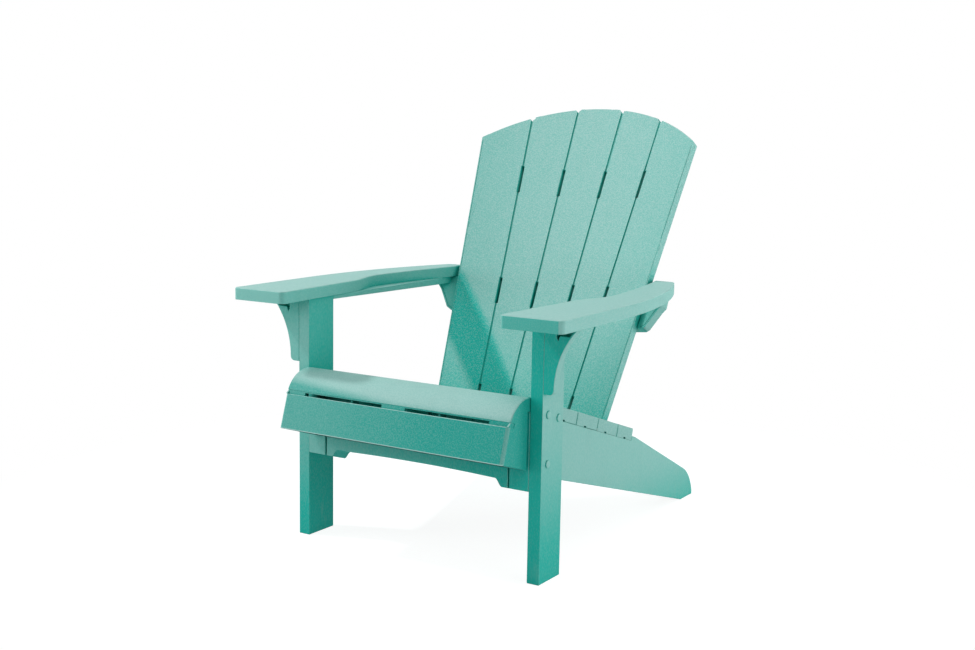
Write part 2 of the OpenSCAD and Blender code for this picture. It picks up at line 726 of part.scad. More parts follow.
cross_ribs = [-120 : 120 : 120];
module front_bar() {
    difference() {
        intersection() {
            seat_frame() along(-2 * cross_d, 3 * cross_d) cross_profile();
            translate([-rail_in, 0, 0]) cube([2 * rail_in, cross_d, seat_h]);
        }
        difference() {
            intersection() {
                seat_frame() along(-2 * cross_d, 3 * cross_d) cross_pocket();
                translate([-rail_in, wall, 0]) cube([2 * rail_in, 2 * cross_d, seat_h]);
            }
            for (x = cross_ribs)
                translate([x, 0, 0]) cube([rib_t, 3 * cross_d, 3 * cross_top_h], center = true);
        }
        both_sides() translate([rail_in - cross_slit, -1, 0])
            cube([cross_slit + 1, wall + 1, cross_top_h + 1]);
        both_sides() bolt_holes();
    }
}

/* ---- arms ---- */
arm_in_x = half_w - arm_in;
arm_out_x = half_w + arm_out;
arm_waist_x = half_w + waist_x;
arm_tail = half_w - arm_tail_x;
neck_y = waist_y - neck_len;
function arm_outer(y) = y < sweep_y ? arm_out_x
    : arm_out_x - sweep_r + sqrt(sweep_r * sweep_r - (y - sweep_y) * (y - sweep_y));
function arm_inner(y) =
    y < neck_y ? arm_in_x + (y + arm_front) * arm_in / (neck_y + arm_front)
    : y < waist_y ? half_w + waist_x * smooth((y - neck_y) / (waist_y - neck_y))
    : arm_waist_x - (arm_waist_x - arm_tail) * pow((y - waist_y) / (arm_back - waist_y), 1.6);
side_n = 34;
tail_c_y = arm_back - arm_corner_r;
tail_c_x = arm_out_x - sweep_r + sqrt(pow(sweep_r - arm_corner_r, 2) - pow(tail_c_y - sweep_y, 2));
tail_turn = asin((tail_c_y - sweep_y) / (sweep_r - arm_corner_r));
function along_arm(i, y1) = arm_corner_r - arm_front + (y1 - arm_corner_r + arm_front) * i / side_n;
module arm_outline(inset) {
    r = arm_corner_r - inset;
    y = arm_corner_r - arm_front;
    polygon(concat(
        arc([arm_in_x + arm_corner_r, y], r, 180, 270, 8),
        arc([arm_out_x - arm_corner_r, y], r, -90, 0, 8),
        [for (i = [1:side_n]) let(v = along_arm(i, tail_c_y)) [arm_outer(v) - inset, v]],
        arc([tail_c_x, tail_c_y], r, tail_turn, 90, 6),
        [for (i = [side_n:-1:1]) let(v = along_arm(i, arm_back - inset)) [arm_inner(v) + inset, v]]
    ));
}
tail_solid = 60;
arm_ribs = [for (i = [1 : 5]) leg_d - 65 + i * 90];
module arm_blocks() {
    // Solid stretches over the leg, the bracket, the support rail and the rear crossbar.
    translate([0, -3, -arm_t]) cube([leg_out + 3, arm_back, arm_t]);
    translate([0, -3, -arm_t]) cube([2 * half_w, bracket_t + 6, arm_t]);
    translate([0, arm_back - tail_solid, -arm_t]) cube([2 * half_w, 2 * tail_solid, arm_t]);
    for (y = concat([-arm_front / 2], arm_ribs))
        translate([0, y, -arm_t]) cube([2 * half_w, rib_t, arm_t]);
}
module arm_body() {
    difference() {
        arm_frame() difference() {
            translate([0, 0, -arm_t]) linear_extrude(arm_t) arm_outline(0);
            difference() {
                translate([0, 0, -arm_t - 1]) linear_extrude(arm_t - wall + 1) arm_outline(wall);
                arm_blocks();
            }
        }
        strip_screws_at() screw_hole(strip_reach);
        arm_screws_at() screw_hole(arm_reach);
    }
}
arm_reach = 8 + 14;
arm_screw_y = back_pt(curve_at(curve_r + bar_in + (wing_d - wing_step) / 2, arm_shoulder + 24),
    (arm_under(arm_back) - back_ref_h) / cos(back_tilt))[0];
module arm_screws_at() {
    for (x = [arm_shoulder + 12, arm_shoulder + 35])
        translate([x, arm_screw_y, arm_under(arm_screw_y) - wall - 3]) rotate([arm_tilt, 0, 0]) children();
}

/* ---- under-arm strips ---- */
// Where the front face of a wing stands, at x from the middle and a height h.
function wing_front_y(x, h) =
    let(d = curve_at(curve_r + bar_in - wing_step, x))
    back_pt(d, (h - back_ref_h + d * sin(back_tilt)) / cos(back_tilt))[0];
strip_x = half_w + leg_t / 2;
strip_rear = wing_front_y(leg_out, arm_under(arm_back) - strip_rear_h);
strip_ys = [leg_d + 5 * head_r, leg_d + 15 * head_r, strip_rear - 11 * head_r, strip_rear - 3 * head_r];
strip_sink = 4;
strip_reach = 20;
strip_end = arm_back - 30;
function strip_under(y) =
    arm_under(y) - strip_front_h - (strip_rear_h - strip_front_h) * (y - leg_d) / (strip_end - leg_d);
module strip_screws_at() {
    for (y = strip_ys)
        translate([strip_x, y, strip_under(y) + strip_sink]) rotate([arm_tilt, 0, 0]) children();
}
module support_strip() {
    difference() {
        intersection() {
            across(half_w, leg_out) polygon([
                [leg_d, strip_under(leg_d)], [arm_back, strip_under(arm_back)],
                [arm_back, arm_under(arm_back)], [leg_d, arm_under(leg_d)]
            ]);
            back_frame() curve_rod(curve_r + bar_in - wing_step - seat_gap);
        }
        strip_screws_at() screw_hole(strip_reach);
        strip_screws_at() translate([0, 0, -2 * head_h - strip_sink])
            cylinder(r = head_r + seat_gap, h = 2 * head_h + strip_sink);
    }
}

/* ---- front brackets ---- */
bracket_x = leg_out + bracket_reach;
curve_z = bracket_h + bracket_corner_r;
bracket_top = arm_under(bracket_t) + 1;
function bracket_edge(z) = bracket_x + bracket_r - sqrt(pow(bracket_r, 2) - pow(z - curve_z, 2));
window_x = bracket_x + 10;
window_z = arm_under(0) - window_h;
bracket_hole_y = (bracket_t + wall) / 2;
bracket_reach_in = leg_t - wall + 0.5;
bracket_spots = [0.27, 0.69];
module bracket_screws_at() {
    for (t = bracket_spots)
        translate([leg_out + wall + 1, bracket_hole_y, bracket_h + t * (window_z - bracket_h)])
            rotate([0, -90, 0]) children();
}
module front_bracket_body() {
    difference() {
        intersection() {
            along(0, bracket_t) polygon(concat(
                [[leg_out, bracket_top], [leg_out, bracket_h]],
                arc([bracket_x - bracket_corner_r, curve_z], bracket_corner_r, -90, 0, 6),
                [for (i = [1:16]) let(z = curve_z + (bracket_top - curve_z) * i / 16) [bracket_edge(z), z]]
            ));
            below_arms(0);
        }
        along(-1, bracket_t - wall) polygon(concat(
            [[window_x - 7.5, bracket_top + 1], [window_x - 7.5, window_z - 4]],
            [[window_x - 3.8, window_z - 10], [window_x, window_z]],
            [for (i = [0:4]) let(z = window_z + (bracket_top - window_z) * i / 4)
                [bracket_edge(z) - wall, z]],
            [[bracket_edge(bracket_top) - wall, bracket_top + 1]]
        ));
        along(wall, bracket_t + 1) polygon(concat(
            [[leg_out + wall + 1, window_z - 16], [leg_out + wall + 1, bracket_h + wall]],
            [[bracket_x - wall - 3, bracket_h + wall], [bracket_x - wall, bracket_h + wall + 3]],
            [for (i = [1:8]) let(z = curve_z + (window_z - 16 - curve_z) * i / 8) [bracket_edge(z) - wall, z]]
        ));
        bracket_screws_at() screw_hole(bracket_reach_in);
    }
}

/* ---- nodes ---- */
module left_side_rail() { color(resin) placed() side_rail(); }
module right_side_rail() { color(resin) placed() other_side() side_rail(); }
module left_front_leg() { color(resin) placed() front_leg(); }
module right_front_leg() { color(resin) placed() other_side() front_leg(); }
module seat_panel() { color(resin) placed() seat_body(); }
module back_panel() { color(resin) placed() back_body(); }
module left_arm() { color(resin) placed() arm_body(); }
module right_arm() { color(resin) placed() other_side() arm_body(); }
module left_front_bracket() { color(resin) placed() front_bracket_body(); }
module right_front_bracket() { color(resin) placed() other_side() front_bracket_body(); }
module left_arm_support_rail() { color(resin) placed() support_strip(); }
module right_arm_support_rail() { color(resin) placed() other_side() support_strip(); }
module front_crossbar() { color(resin) placed() front_bar(); }
module lower_back_crossbar() { color(resin) placed() lower_crossbar(); }
module rear_arm_crossbar() { color(resin) placed() rear_crossbar(); }
module leg_to_rail_bolts() { color(steel) placed() both_sides() for (p = rail_bolts) bolt(p, rail_reach); }
module front_crossbar_bolts() { color(steel) placed() both_sides() bolt(cross_bolt, cross_reach); }
module bolt_caps() {
    color(resin) placed() both_sides() for (p = concat(rail_bolts, [cross_bolt])) {
        cross_rod(p, cap_r, leg_out, leg_out + cap_h);
        cross_rod(p, bolt_head_r, leg_out - cap_h + seat_gap, leg_out + 1);
    }
}
module front_bracket_screws() {
    color(steel) placed() both_sides() bracket_screws_at() screw(bracket_reach_in);
}
module arm_support_screws() { color(steel) placed() both_sides() strip_screws_at() screw(strip_reach); }
module arm_to_crossbar_screws() { color(steel) placed() both_sides() arm_screws_at() screw(arm_reach); }
module back_upper_screws() {
    color(steel) placed() back_frame() back_screws_at(upper_spots) screw(back_reach);
}
module back_lower_screws() {
    color(steel) placed() back_frame() back_screws_at(lower_spots) screw(back_reach);
}
module lower_crossbar_screws() { color(steel) placed() both_sides() lower_screws_at() screw(lower_reach); }

left_side_rail();
right_side_rail();
left_front_leg();
right_front_leg();
seat_panel();
back_panel();
left_arm();
right_arm();
left_front_bracket();
right_front_bracket();
left_arm_support_rail();
right_arm_support_rail();
front_crossbar();
lower_back_crossbar();
rear_arm_crossbar();
leg_to_rail_bolts();
front_crossbar_bolts();
bolt_caps();
front_bracket_screws();
arm_support_screws();
arm_to_crossbar_screws();
back_upper_screws();
back_lower_screws();
lower_crossbar_screws();
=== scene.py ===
"""A fan-backed garden armchair in moulded resin, finished on its CAD frame.

Each sub-assembly takes its mouldings from the frame, rounds their edges as a mould does, and
dresses them in resin, with light and shade painted into its colour. Screws are turned afresh in
zinc-plated steel. Lengths are in metres, in the frame's own axes: the sitter looks along -Y, the
key lamp stands on the -X side and the floor is at Z = 0.
"""

import logging
import math
from dataclasses import dataclass, field
from enum import Enum
from typing import Any, Callable, Iterable, Sequence

import bmesh
import bpy
from mathutils import Matrix, Vector


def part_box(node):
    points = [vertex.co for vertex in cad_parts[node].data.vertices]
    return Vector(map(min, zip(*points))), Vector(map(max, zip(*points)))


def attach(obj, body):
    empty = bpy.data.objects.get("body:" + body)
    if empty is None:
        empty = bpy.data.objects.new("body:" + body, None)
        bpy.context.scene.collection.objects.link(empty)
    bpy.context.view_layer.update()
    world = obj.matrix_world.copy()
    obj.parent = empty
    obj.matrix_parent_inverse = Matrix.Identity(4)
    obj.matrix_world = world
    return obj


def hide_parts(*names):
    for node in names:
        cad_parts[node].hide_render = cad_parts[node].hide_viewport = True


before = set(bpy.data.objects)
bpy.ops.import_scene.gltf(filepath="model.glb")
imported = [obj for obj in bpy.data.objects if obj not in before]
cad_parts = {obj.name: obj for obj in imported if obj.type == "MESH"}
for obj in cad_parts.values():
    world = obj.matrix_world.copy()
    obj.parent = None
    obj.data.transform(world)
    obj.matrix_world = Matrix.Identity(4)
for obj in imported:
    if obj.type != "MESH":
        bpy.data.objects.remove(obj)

log = logging.getLogger("garden_chair")

MM = 0.001
BODY = "root"
# How far the key lamp's rays run towards +X and +Y for each metre that they come down; the painted
# shadow follows them.
KEY_LIGHT_SLANT = (1.01, 0.52)
# Frame vertices closer than this are one, and faces that meet this flatly are merged.
SAME_PLACE = 0.01 * MM
FLAT_ANGLE = math.radians(0.4)
# Edges sharper than this are shaded as edges.
CREASE_ANGLE = math.radians(34.0)
# The least angle, in degrees, of a corner that is rounded, and the room it needs, in radii.
ROUNDED_CORNER = 40.0
ROUNDING_ROOM = 2.3
# Two faces whose normals have a smaller dot product than this lie folded on each other, and a fold
# that lies further than this from every earlier one is new.
FOLD_COSINE = -0.7
FOLD_APART = 0.5 * MM
ROUNDING_TRIES = 5

Colour = tuple[float, float, float]
Sockets = dict[str | int, Any]
EdgeTest = Callable[[bmesh.types.BMEdge], bool]
NormalTest = Callable[[Vector], bool]

WHITE: Colour = (1.0, 1.0, 1.0)


# -------------------------------------------------------------------------------------------------
# Shader expressions
# -------------------------------------------------------------------------------------------------


class Value:
    """A number that varies over a surface and takes part in plain arithmetic."""

    def __init__(self, graph: "Graph", socket: bpy.types.NodeSocket) -> None:
        """Wrap one output socket.

        Args:
            graph: the graph that the socket belongs to.
            socket: the output that carries the number.
        """
        self.graph = graph
        self.socket = socket

    def _maths(self, operation: str, *terms: "Value | float", clamp: bool = False) -> "Value":
        """Add one Math node.

        Args:
            operation: the node's operation.
            terms: its inputs, in order.
            clamp: whether the result is held between 0 and 1.

        Returns:
            The node's result.
        """
        node = self.graph.node(
            "ShaderNodeMath",
            {"operation": operation, "use_clamp": clamp},
            {i: term for i, term in enumerate(terms)},
        )
        return Value(self.graph, node.outputs[0])

    def __add__(self, other: "Value | float") -> "Value":
        """Return self + other."""
        return self._maths("ADD", self, other)

    def __radd__(self, other: float) -> "Value":
        """Return other + self."""
        return self._maths("ADD", other, self)

    def __sub__(self, other: "Value | float") -> "Value":
        """Return self - other."""
        return self._maths("SUBTRACT", self, other)

    def __rsub__(self, other: float) -> "Value":
        """Return other - self."""
        return self._maths("SUBTRACT", other, self)

    def __mul__(self, other: "Value | float") -> "Value":
        """Return self * other."""
        return self._maths("MULTIPLY", self, other)

    def __rmul__(self, other: float) -> "Value":
        """Return other * self."""
        return self._maths("MULTIPLY", other, self)

    def __pow__(self, other: float) -> "Value":
        """Return self raised to a power."""
        return self._maths("POWER", self, other)

    def held(self) -> "Value":
        """Return the value held between 0 and 1."""
        return self._maths("ADD", self, 0.0, clamp=True)

    def size(self) -> "Value":
        """Return the value without its sign."""
        return self._maths("ABSOLUTE", self)

    def most(self, other: "Value | float") -> "Value":
        """Return the larger of two values."""
        return self._maths("MAXIMUM", self, other)

    def ramp(self, low: float, high: float) -> "Value":
        """Return 0 below low and 1 above high, smooth in between.

        Args:
            low: the value that gives 0.
            high: the value that gives 1.

        Returns:
            The smoothed mask.
        """
        node = self.graph.node(
            "ShaderNodeMapRange",
            {"interpolation_type": "SMOOTHSTEP"},
            {"Value": self, "From Min": low, "From Max": high, "To Min": 0.0, "To Max": 1.0},
        )
        return Value(self.graph, node.outputs["Result"])


class Graph:
    """The node graph of a material or of the surroundings, built from expressions."""

    def __init__(self, owner: bpy.types.Material | bpy.types.World) -> None:
        """Start with an empty graph.

        Args:
            owner: the material or world that the graph belongs to.
        """
        owner.use_nodes = True
        self.tree = owner.node_tree
        self.tree.nodes.clear()

    def feed(self, socket: bpy.types.NodeSocket, value: Any) -> None:
        """Connect an output to a socket, or set the socket to a plain value.

        Args:
            socket: the socket.
            value: a Value, a node's output, or a number, vector or colour with its alpha.
        """
        if isinstance(value, Value):
            self.tree.links.new(value.socket, socket)
        elif isinstance(value, bpy.types.NodeSocket):
            self.tree.links.new(value, socket)
        else:
            socket.default_value = value

    def node(
        self, kind: str, settings: dict[str, Any] | None = None, inputs: Sockets | None = None
    ) -> bpy.types.Node:
        """Add one node, set it up and connect it.

        Args:
            kind: the node's type.
            settings: properties of the node, set before its sockets.
            inputs: values or links by socket name or number.

        Returns:
            The new node.
        """
        made = self.tree.nodes.new(kind)
        for name, value in (settings or {}).items():
            setattr(made, name, value)
        for name, value in (inputs or {}).items():
            self.feed(made.inputs[name], value)
        return made

    def shader(self, kind: str, inputs: Sockets) -> bpy.types.NodeSocket:
        """Add one shader node.

        Args:
            kind: the node's type.
            inputs: values or links by socket name or number.

        Returns:
            The shader's output.
        """
        return self.node(kind, None, inputs).outputs[0]

    def place(self, stretch: Sequence[float] = (1.0, 1.0, 1.0)) -> bpy.types.NodeSocket:
        """Return the object's own coordinates, scaled along each axis.

        Args:
            stretch: the factor along X, Y and Z.

        Returns:
            The vector output.
        """
        where = self.node("ShaderNodeTexCoord").outputs["Object"]
        sockets = {"Vector": where, "Scale": tuple(stretch)}
        mapping = self.node("ShaderNodeMapping", {"vector_type": "POINT"}, sockets)
        return mapping.outputs["Vector"]

    def noise(
        self, where: bpy.types.NodeSocket, scale: float, detail: float, roughness: float = 0.5
    ) -> Value:
        """Return a noise field.

        Args:
            where: the coordinates.
            scale: features per metre.
            detail: octaves.
            roughness: how strong the fine octaves are.

        Returns:
            The noise, about 0 to 1.
        """
        made = self.node(
            "ShaderNodeTexNoise",
            {"noise_dimensions": "3D"},
            {"Vector": where, "Scale": scale, "Detail": detail, "Roughness": roughness},
        )
        return Value(self, made.outputs[0])

    def cells(self, where: bpy.types.NodeSocket, scale: float) -> Value:
        """Return the distance to the nearest of scattered points.

        Args:
            where: the coordinates.
            scale: points per metre.

        Returns:
            The distance, in cells.
        """
        made = self.node(
            "ShaderNodeTexVoronoi",
            {"feature": "SMOOTH_F1", "voronoi_dimensions": "3D"},
            {"Vector": where, "Scale": scale, "Smoothness": 0.6},
        )
        return Value(self, made.outputs["Distance"])

    def facing(self, axis: int) -> Value:
        """Return one component of the surface's normal, bumps left out.

        Args:
            axis: 0, 1 or 2 for X, Y or Z.

        Returns:
            The component, -1 to 1.
        """
        normal = self.node("ShaderNodeNewGeometry").outputs["Normal"]
        parts = self.node("ShaderNodeSeparateXYZ", None, {"Vector": normal})
        return Value(self, parts.outputs[axis])

    def coordinate(self, axis: int) -> Value:
        """Return one of the point's own coordinates.

        Args:
            axis: 0 across the chair, 1 from front to back, 2 up from the floor.

        Returns:
            The coordinate in metres.
        """
        parts = self.node("ShaderNodeSeparateXYZ", None, {"Vector": self.place()})
        return Value(self, parts.outputs[axis])

    def shelter(self, reach: float) -> Value:
        """Return how open a point is to its surroundings.

        Args:
            reach: how far a neighbour still shelters it.

        Returns:
            0 in a deep recess, 1 in the open.
        """
        made = self.node("ShaderNodeAmbientOcclusion", {"samples": 6}, {"Distance": reach})
        return Value(self, made.outputs["AO"])

    def blend(self, mask: Value | float, base: Any, top: Any) -> bpy.types.NodeSocket:
        """Mix two colours.

        Args:
            mask: 0 gives base and 1 gives top.
            base: a colour or a colour output.
            top: a colour or a colour output.

        Returns:
            The mixed colour.
        """
        made = self.node("ShaderNodeMix", {"data_type": "RGBA", "clamp_factor": True})
        for index, value in ((0, mask), (6, base), (7, top)):
            self.feed(made.inputs[index], (*value, 1.0) if isinstance(value, tuple) else value)
        return made.outputs[2]

    def bump(
        self, height: Value, depth: float, strength: float, below: bpy.types.NodeSocket | None = None
    ) -> bpy.types.NodeSocket:
        """Raise the surface's normal by a height field.

        Args:
            height: the height, 0 to 1.
            depth: the distance in metres that 1 stands for.
            strength: the share of the effect.
            below: a normal that this one is added to.

        Returns:
            The bumped normal.
        """
        inputs: Sockets = {"Height": height, "Distance": depth, "Strength": strength}
        if below is not None:
            inputs["Normal"] = below
        return self.node("ShaderNodeBump", None, inputs).outputs["Normal"]

    def seen(self) -> Value:
        """Return 1 for rays that show the backdrop to the camera, also by way of metal or glass."""
        rays = self.node("ShaderNodeLightPath").outputs
        direct = Value(self, rays["Is Camera Ray"]).most(Value(self, rays["Is Glossy Ray"]))
        return direct.most(Value(self, rays["Is Transmission Ray"]))

    def mix(
        self, mask: Value, base: bpy.types.NodeSocket, top: bpy.types.NodeSocket
    ) -> bpy.types.NodeSocket:
        """Mix two shaders.

        Args:
            mask: 0 gives base and 1 gives top.
            base: a shader output.
            top: a shader output.

        Returns:
            The mixed shader.
        """
        return self.shader("ShaderNodeMixShader", {0: mask, 1: base, 2: top})

    def surface(self, shader: bpy.types.NodeSocket) -> None:
        """Send a shader to the material's surface."""
        self.node("ShaderNodeOutputMaterial", None, {"Surface": shader})


# -------------------------------------------------------------------------------------------------
# Finishes
# -------------------------------------------------------------------------------------------------


class Grain(Enum):
    """The way a mould's texture runs."""

    PEBBLE = (1.0, 1.0, 1.0)
    UPRIGHT = (1.0, 1.0, 0.5)
    FORE_AND_AFT = (1.0, 0.34, 1.0)


@dataclass(frozen=True)
class PaintedShadowCaster:
    """A flat part whose cast shadow is painted on a strip behind and below it.

    Attributes:
        outer: the X of its outer edge where that crosses Y = 0.
        inner: the X of its inner edge there.
        skew: how far both edges run inwards for each metre back.
        rear: the Y of its rear end.
        top: the height of its upper face.
        thickness: its thickness.
        share: how much of the painted light its painted shadow takes away.
    """

    outer: float
    inner: float
    skew: float
    rear: float
    top: float
    thickness: float = 0.03
    share: float = 0.85

    @classmethod
    def over(cls, node: str) -> "PaintedShadowCaster":
        """Measure the rear half of a CAD node as a caster of painted shadow.

        Args:
            node: the CAD node, on the -X side.

        Returns:
            The shadow caster.
        """
        points = [v.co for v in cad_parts[node].data.vertices]
        run, slack = 0.2, 13.0 * MM
        edges = []
        for back in (0.0, run):
            near = [p.x for p in points if abs(p.y - back) < slack]
            edges.append((min(near), max(near)))
        skew = sum(far - near for near, far in zip(*edges)) / 2.0 / run
        rear, top = max(p.y for p in points), max(p.z for p in points)
        return cls(edges[0][0], edges[0][1], skew, rear, top)

    def strip(self, graph: Graph) -> Value:
        """Say where the painted shadow falls, down the key lamp's slant, with soft edges.

        Args:
            graph: the material's graph.

        Returns:
            One in the strip, nothing outside it.
        """
        drop = self.top - graph.coordinate(2)
        back = graph.coordinate(1) - drop * KEY_LIGHT_SLANT[1]
        across = graph.coordinate(0) - drop * KEY_LIGHT_SLANT[0] - back * self.skew
        first = self.outer - self.thickness * KEY_LIGHT_SLANT[0]
        without, within, ends = 10.0 * MM, 15.0 * MM, 20.0 * MM
        inside = across.ramp(first - without, first + within)
        inside = inside * (1.0 - across.ramp(self.inner - within, self.inner + without))
        inside = inside * (1.0 - back.ramp(self.rear - ends, self.rear + ends))
        return inside * drop.ramp(0.0, ends)


@dataclass(frozen=True)
class Resin:
    """Moulded polypropylene with a fine moulded grain.

    Attributes:
        name: the material's name.
        grain: the way that the texture runs.
        body: the resin's colour.
        painted_light_colour: its paler colour where light is painted on faces that the lamps light.
        deep: its colour where shade is painted into joints and recesses.
        grain_step: the size of one grain.
        grain_depth: the height of one grain.
        grain_strength: how much of it shows.
        front_grain: whether the other faces have only a quarter of the front's grain.
        speckle: how much paler the tops of the grain have worn.
        waviness: the height of the slow waves in a moulded face.
        gloss: the roughness of a smooth area.
        painted_light_up: how much light is painted on the upward faces.
        painted_light_sides: how much light is painted on the faces that look out to the two sides.
        painted_light_inner: how much light is painted on the faces that look in from the sides.
        painted_light_front: how much light is painted on upright front faces on the key lamp's side,
            -X.
        front_evenness: the share of that which the front faces on the other side have too.
        painted_corner_highlight: how much highlight is painted on the upright rounded corners.
        shade_reach: how far away a neighbouring part still paints shade by taking painted light
            away.
        sides_from: the Y from which light is painted on the outer sides, or None for all along;
        ahead of it the legs' shade is painted by leaving that light off.
        painted_shade_height: the height below which painted light fades into painted shade.
        painted_lip_highlight: how much highlight is painted on the lower front lip.
        lip_height: the height of that lip.
        lean: how much less light is painted on upward faces per metre towards the -X end: painted
            shade.
        recess_shade_reach: how far the painted shade in joints and gaps spreads.
        scuffed: the resin's colour where dirt has splashed up from the ground.
        scuff_height: the height up to which it has.
        painted_shadow: a part whose cast shadow is painted on a strip behind it.
    """

    name: str
    grain: Grain = Grain.PEBBLE
    body: Colour = (0.006, 0.430, 0.360)
    painted_light_colour: Colour = (0.360, 0.590, 0.555)
    deep: Colour = (0.001, 0.110, 0.088)
    grain_step: float = 2.6 * MM
    grain_depth: float = 0.16 * MM
    grain_strength: float = 0.75
    front_grain: bool = False
    speckle: float = 0.12
    waviness: float = 0.8 * MM
    gloss: float = 0.55
    painted_light_up: float = 0.95
    painted_light_sides: float = 0.72
    painted_light_inner: float = 0.10
    painted_light_front: float = 0.46
    front_evenness: float = 0.0
    painted_corner_highlight: float = 0.30
    shade_reach: float = 0.22
    sides_from: float | None = None
    painted_shade_height: float = 0.0
    painted_lip_highlight: float = 0.0
    lip_height: float = 0.0
    lean: float = 0.0
    recess_shade_reach: float = 0.03
    scuffed: Colour = (0.36, 0.50, 0.46)
    scuff_height: float = 0.10
    painted_shadow: PaintedShadowCaster | None = None

    def painted_light_mask(self, graph: Graph) -> Value:
        """Work out how much light is painted at each point.

        Args:
            graph: the material's graph.

        Returns:
            The painted light, 0 in full shade.
        """
        across, back, height = (graph.coordinate(axis) for axis in range(3))
        # Light is painted by the way each face looks: up, out to a side, in from a side or ahead.
        # Above 0 where a face looks away from the chair's middle, full by 125 mm from it.
        outward = graph.facing(0) * across * 8.0
        # Less light is painted on the upward faces towards the -X end: painted shade under the arm.
        up = (graph.facing(2) - (across * -self.lean).held()).ramp(0.24, 0.62) * self.painted_light_up
        sides = outward.ramp(0.25, 0.95) * self.painted_light_sides
        # Ahead of sides_from the sides get no painted light: the legs' painted shade.
        if self.sides_from is not None:
            sides = sides * (back - self.sides_from).ramp(-0.02, 0.03)
        inner = (outward * -1.0).ramp(0.25, 0.95) * self.painted_light_inner
        # More light is painted on the front faces on the key lamp's side, -X.
        key_side = (across * -1.0).ramp(-0.36, 0.34) * (1.0 - self.front_evenness)
        key_side = key_side + self.front_evenness
        ahead = (graph.facing(1) * -1.0).ramp(0.5, 0.95) * key_side * self.painted_light_front
        # Where neighbouring parts shelter a point, its painted light gives way to painted shade.
        exposed = graph.shelter(self.shade_reach).ramp(0.35, 0.9)
        painted_lit = up.most(sides).most(inner).most(ahead) * exposed
        # Painted light fades out near the floor: painted shade low down.
        if self.painted_shade_height > 0:
            painted_lit = painted_lit * height.ramp(-0.1 * self.painted_shade_height, self.painted_shade_height)
        # The arm's cast shadow, painted on the strip behind it.
        if self.painted_shadow:
            painted_lit = painted_lit * (1.0 - self.painted_shadow.strip(graph) * self.painted_shadow.share)
        return painted_lit

    def lip_highlight_mask(self, graph: Graph) -> Value:
        """Find the lower front lip, where a highlight is painted.

        Args:
            graph: the material's graph.

        Returns:
            How strong the painted highlight is, 0 away from it.
        """
        rise = graph.coordinate(2) - self.lip_height
        lip = (1.0 - rise.ramp(3.6 * MM, 4.6 * MM)) * rise.ramp(-3.0 * MM, -1.0 * MM)
        lip = lip * (graph.facing(1) * -1.0).ramp(0.3, 0.6) * self.painted_lip_highlight
        return lip.held()

    def relief(
        self, graph: Graph, pebbles: Value, pits: Value, waves: Value
    ) -> bpy.types.NodeSocket:
        """Raise the moulded grain over the slow waves of the face.

        Args:
            graph: the material's graph.
            pebbles: the grain's raised spots.
            pits: the grain's hollows.
            waves: the slow waves.

        Returns:
            The bumped normal.
        """
        height = pebbles * 0.75 + (1.0 - pits) * 0.25
        if self.front_grain:
            height = height * ((graph.facing(1) * -1.0).ramp(0.5, 0.85) * 0.75 + 0.25)
        waved = graph.bump(waves, self.waviness, strength=0.25)
        return graph.bump(height, self.grain_depth, self.grain_strength, waved)

    def material(self) -> bpy.types.Material:
        """Build the material.

        Returns:
            The finished material.
        """
        material = bpy.data.materials.new(self.name)
        graph = Graph(material)
        along = graph.place(self.grain.value)
        pebbles = graph.noise(along, 1.0 / self.grain_step, 2.0, 0.55)
        pits = graph.cells(along, 0.6 / self.grain_step)
        clouds = graph.noise(graph.place(), 9.0, 3.0)
        streaks = graph.noise(graph.place((1.0, 1.0, 0.2)), 34.0, 2.0)
        open_air = graph.shelter(self.recess_shade_reach)

        raised = pebbles.ramp(0.36, 0.68)
        # A painted highlight, full on faces turned halfway between the front and a side,
        # as on an upright corner.
        facets = (graph.facing(0) * graph.facing(1)).size() * 2.0
        worn = facets.ramp(0.04, 0.95) * self.painted_corner_highlight
        # Painted light and the painted corner highlight, with the grain's speckle and random tone.
        light_and_grain = self.painted_light_mask(graph).most(worn)
        light_and_grain = light_and_grain + (clouds - 0.5) * 0.10 + (raised - 0.5) * self.speckle
        # Painted shade takes the painted light away in recesses and joints.
        light_and_grain = (light_and_grain * open_air.ramp(0.20, 0.85)).held()
        colour = graph.blend(light_and_grain, self.body, self.painted_light_colour)
        # Painted shade: recesses and joints darken towards the deep colour.
        shade = ((1.0 - open_air.ramp(0.02, 0.40)) * 0.9 + (streaks - 0.5) * 0.10).held()
        colour = graph.blend(shade, colour, self.deep)
        # A painted highlight along the lower front lip.
        if self.painted_lip_highlight > 0:
            colour = graph.blend(self.lip_highlight_mask(graph), colour, self.painted_light_colour)
        low = (self.scuff_height - graph.coordinate(2)).ramp(0.0, self.scuff_height)
        scuffs = (streaks.ramp(0.60, 0.76) * low * 0.35).held()
        colour = graph.blend(scuffs, colour, self.scuffed)

        rough = self.gloss + (raised - 0.5) * -0.10 + (clouds - 0.5) * 0.16 + light_and_grain * 0.06
        shader = graph.shader(
            "ShaderNodeBsdfPrincipled",
            {
                "Base Color": colour,
                "Roughness": rough.held(),
                "Normal": self.relief(graph, pebbles, pits, clouds),
                "IOR": 1.49,
                "Specular IOR Level": 0.22,
            },
        )
        graph.surface(shader)
        return material


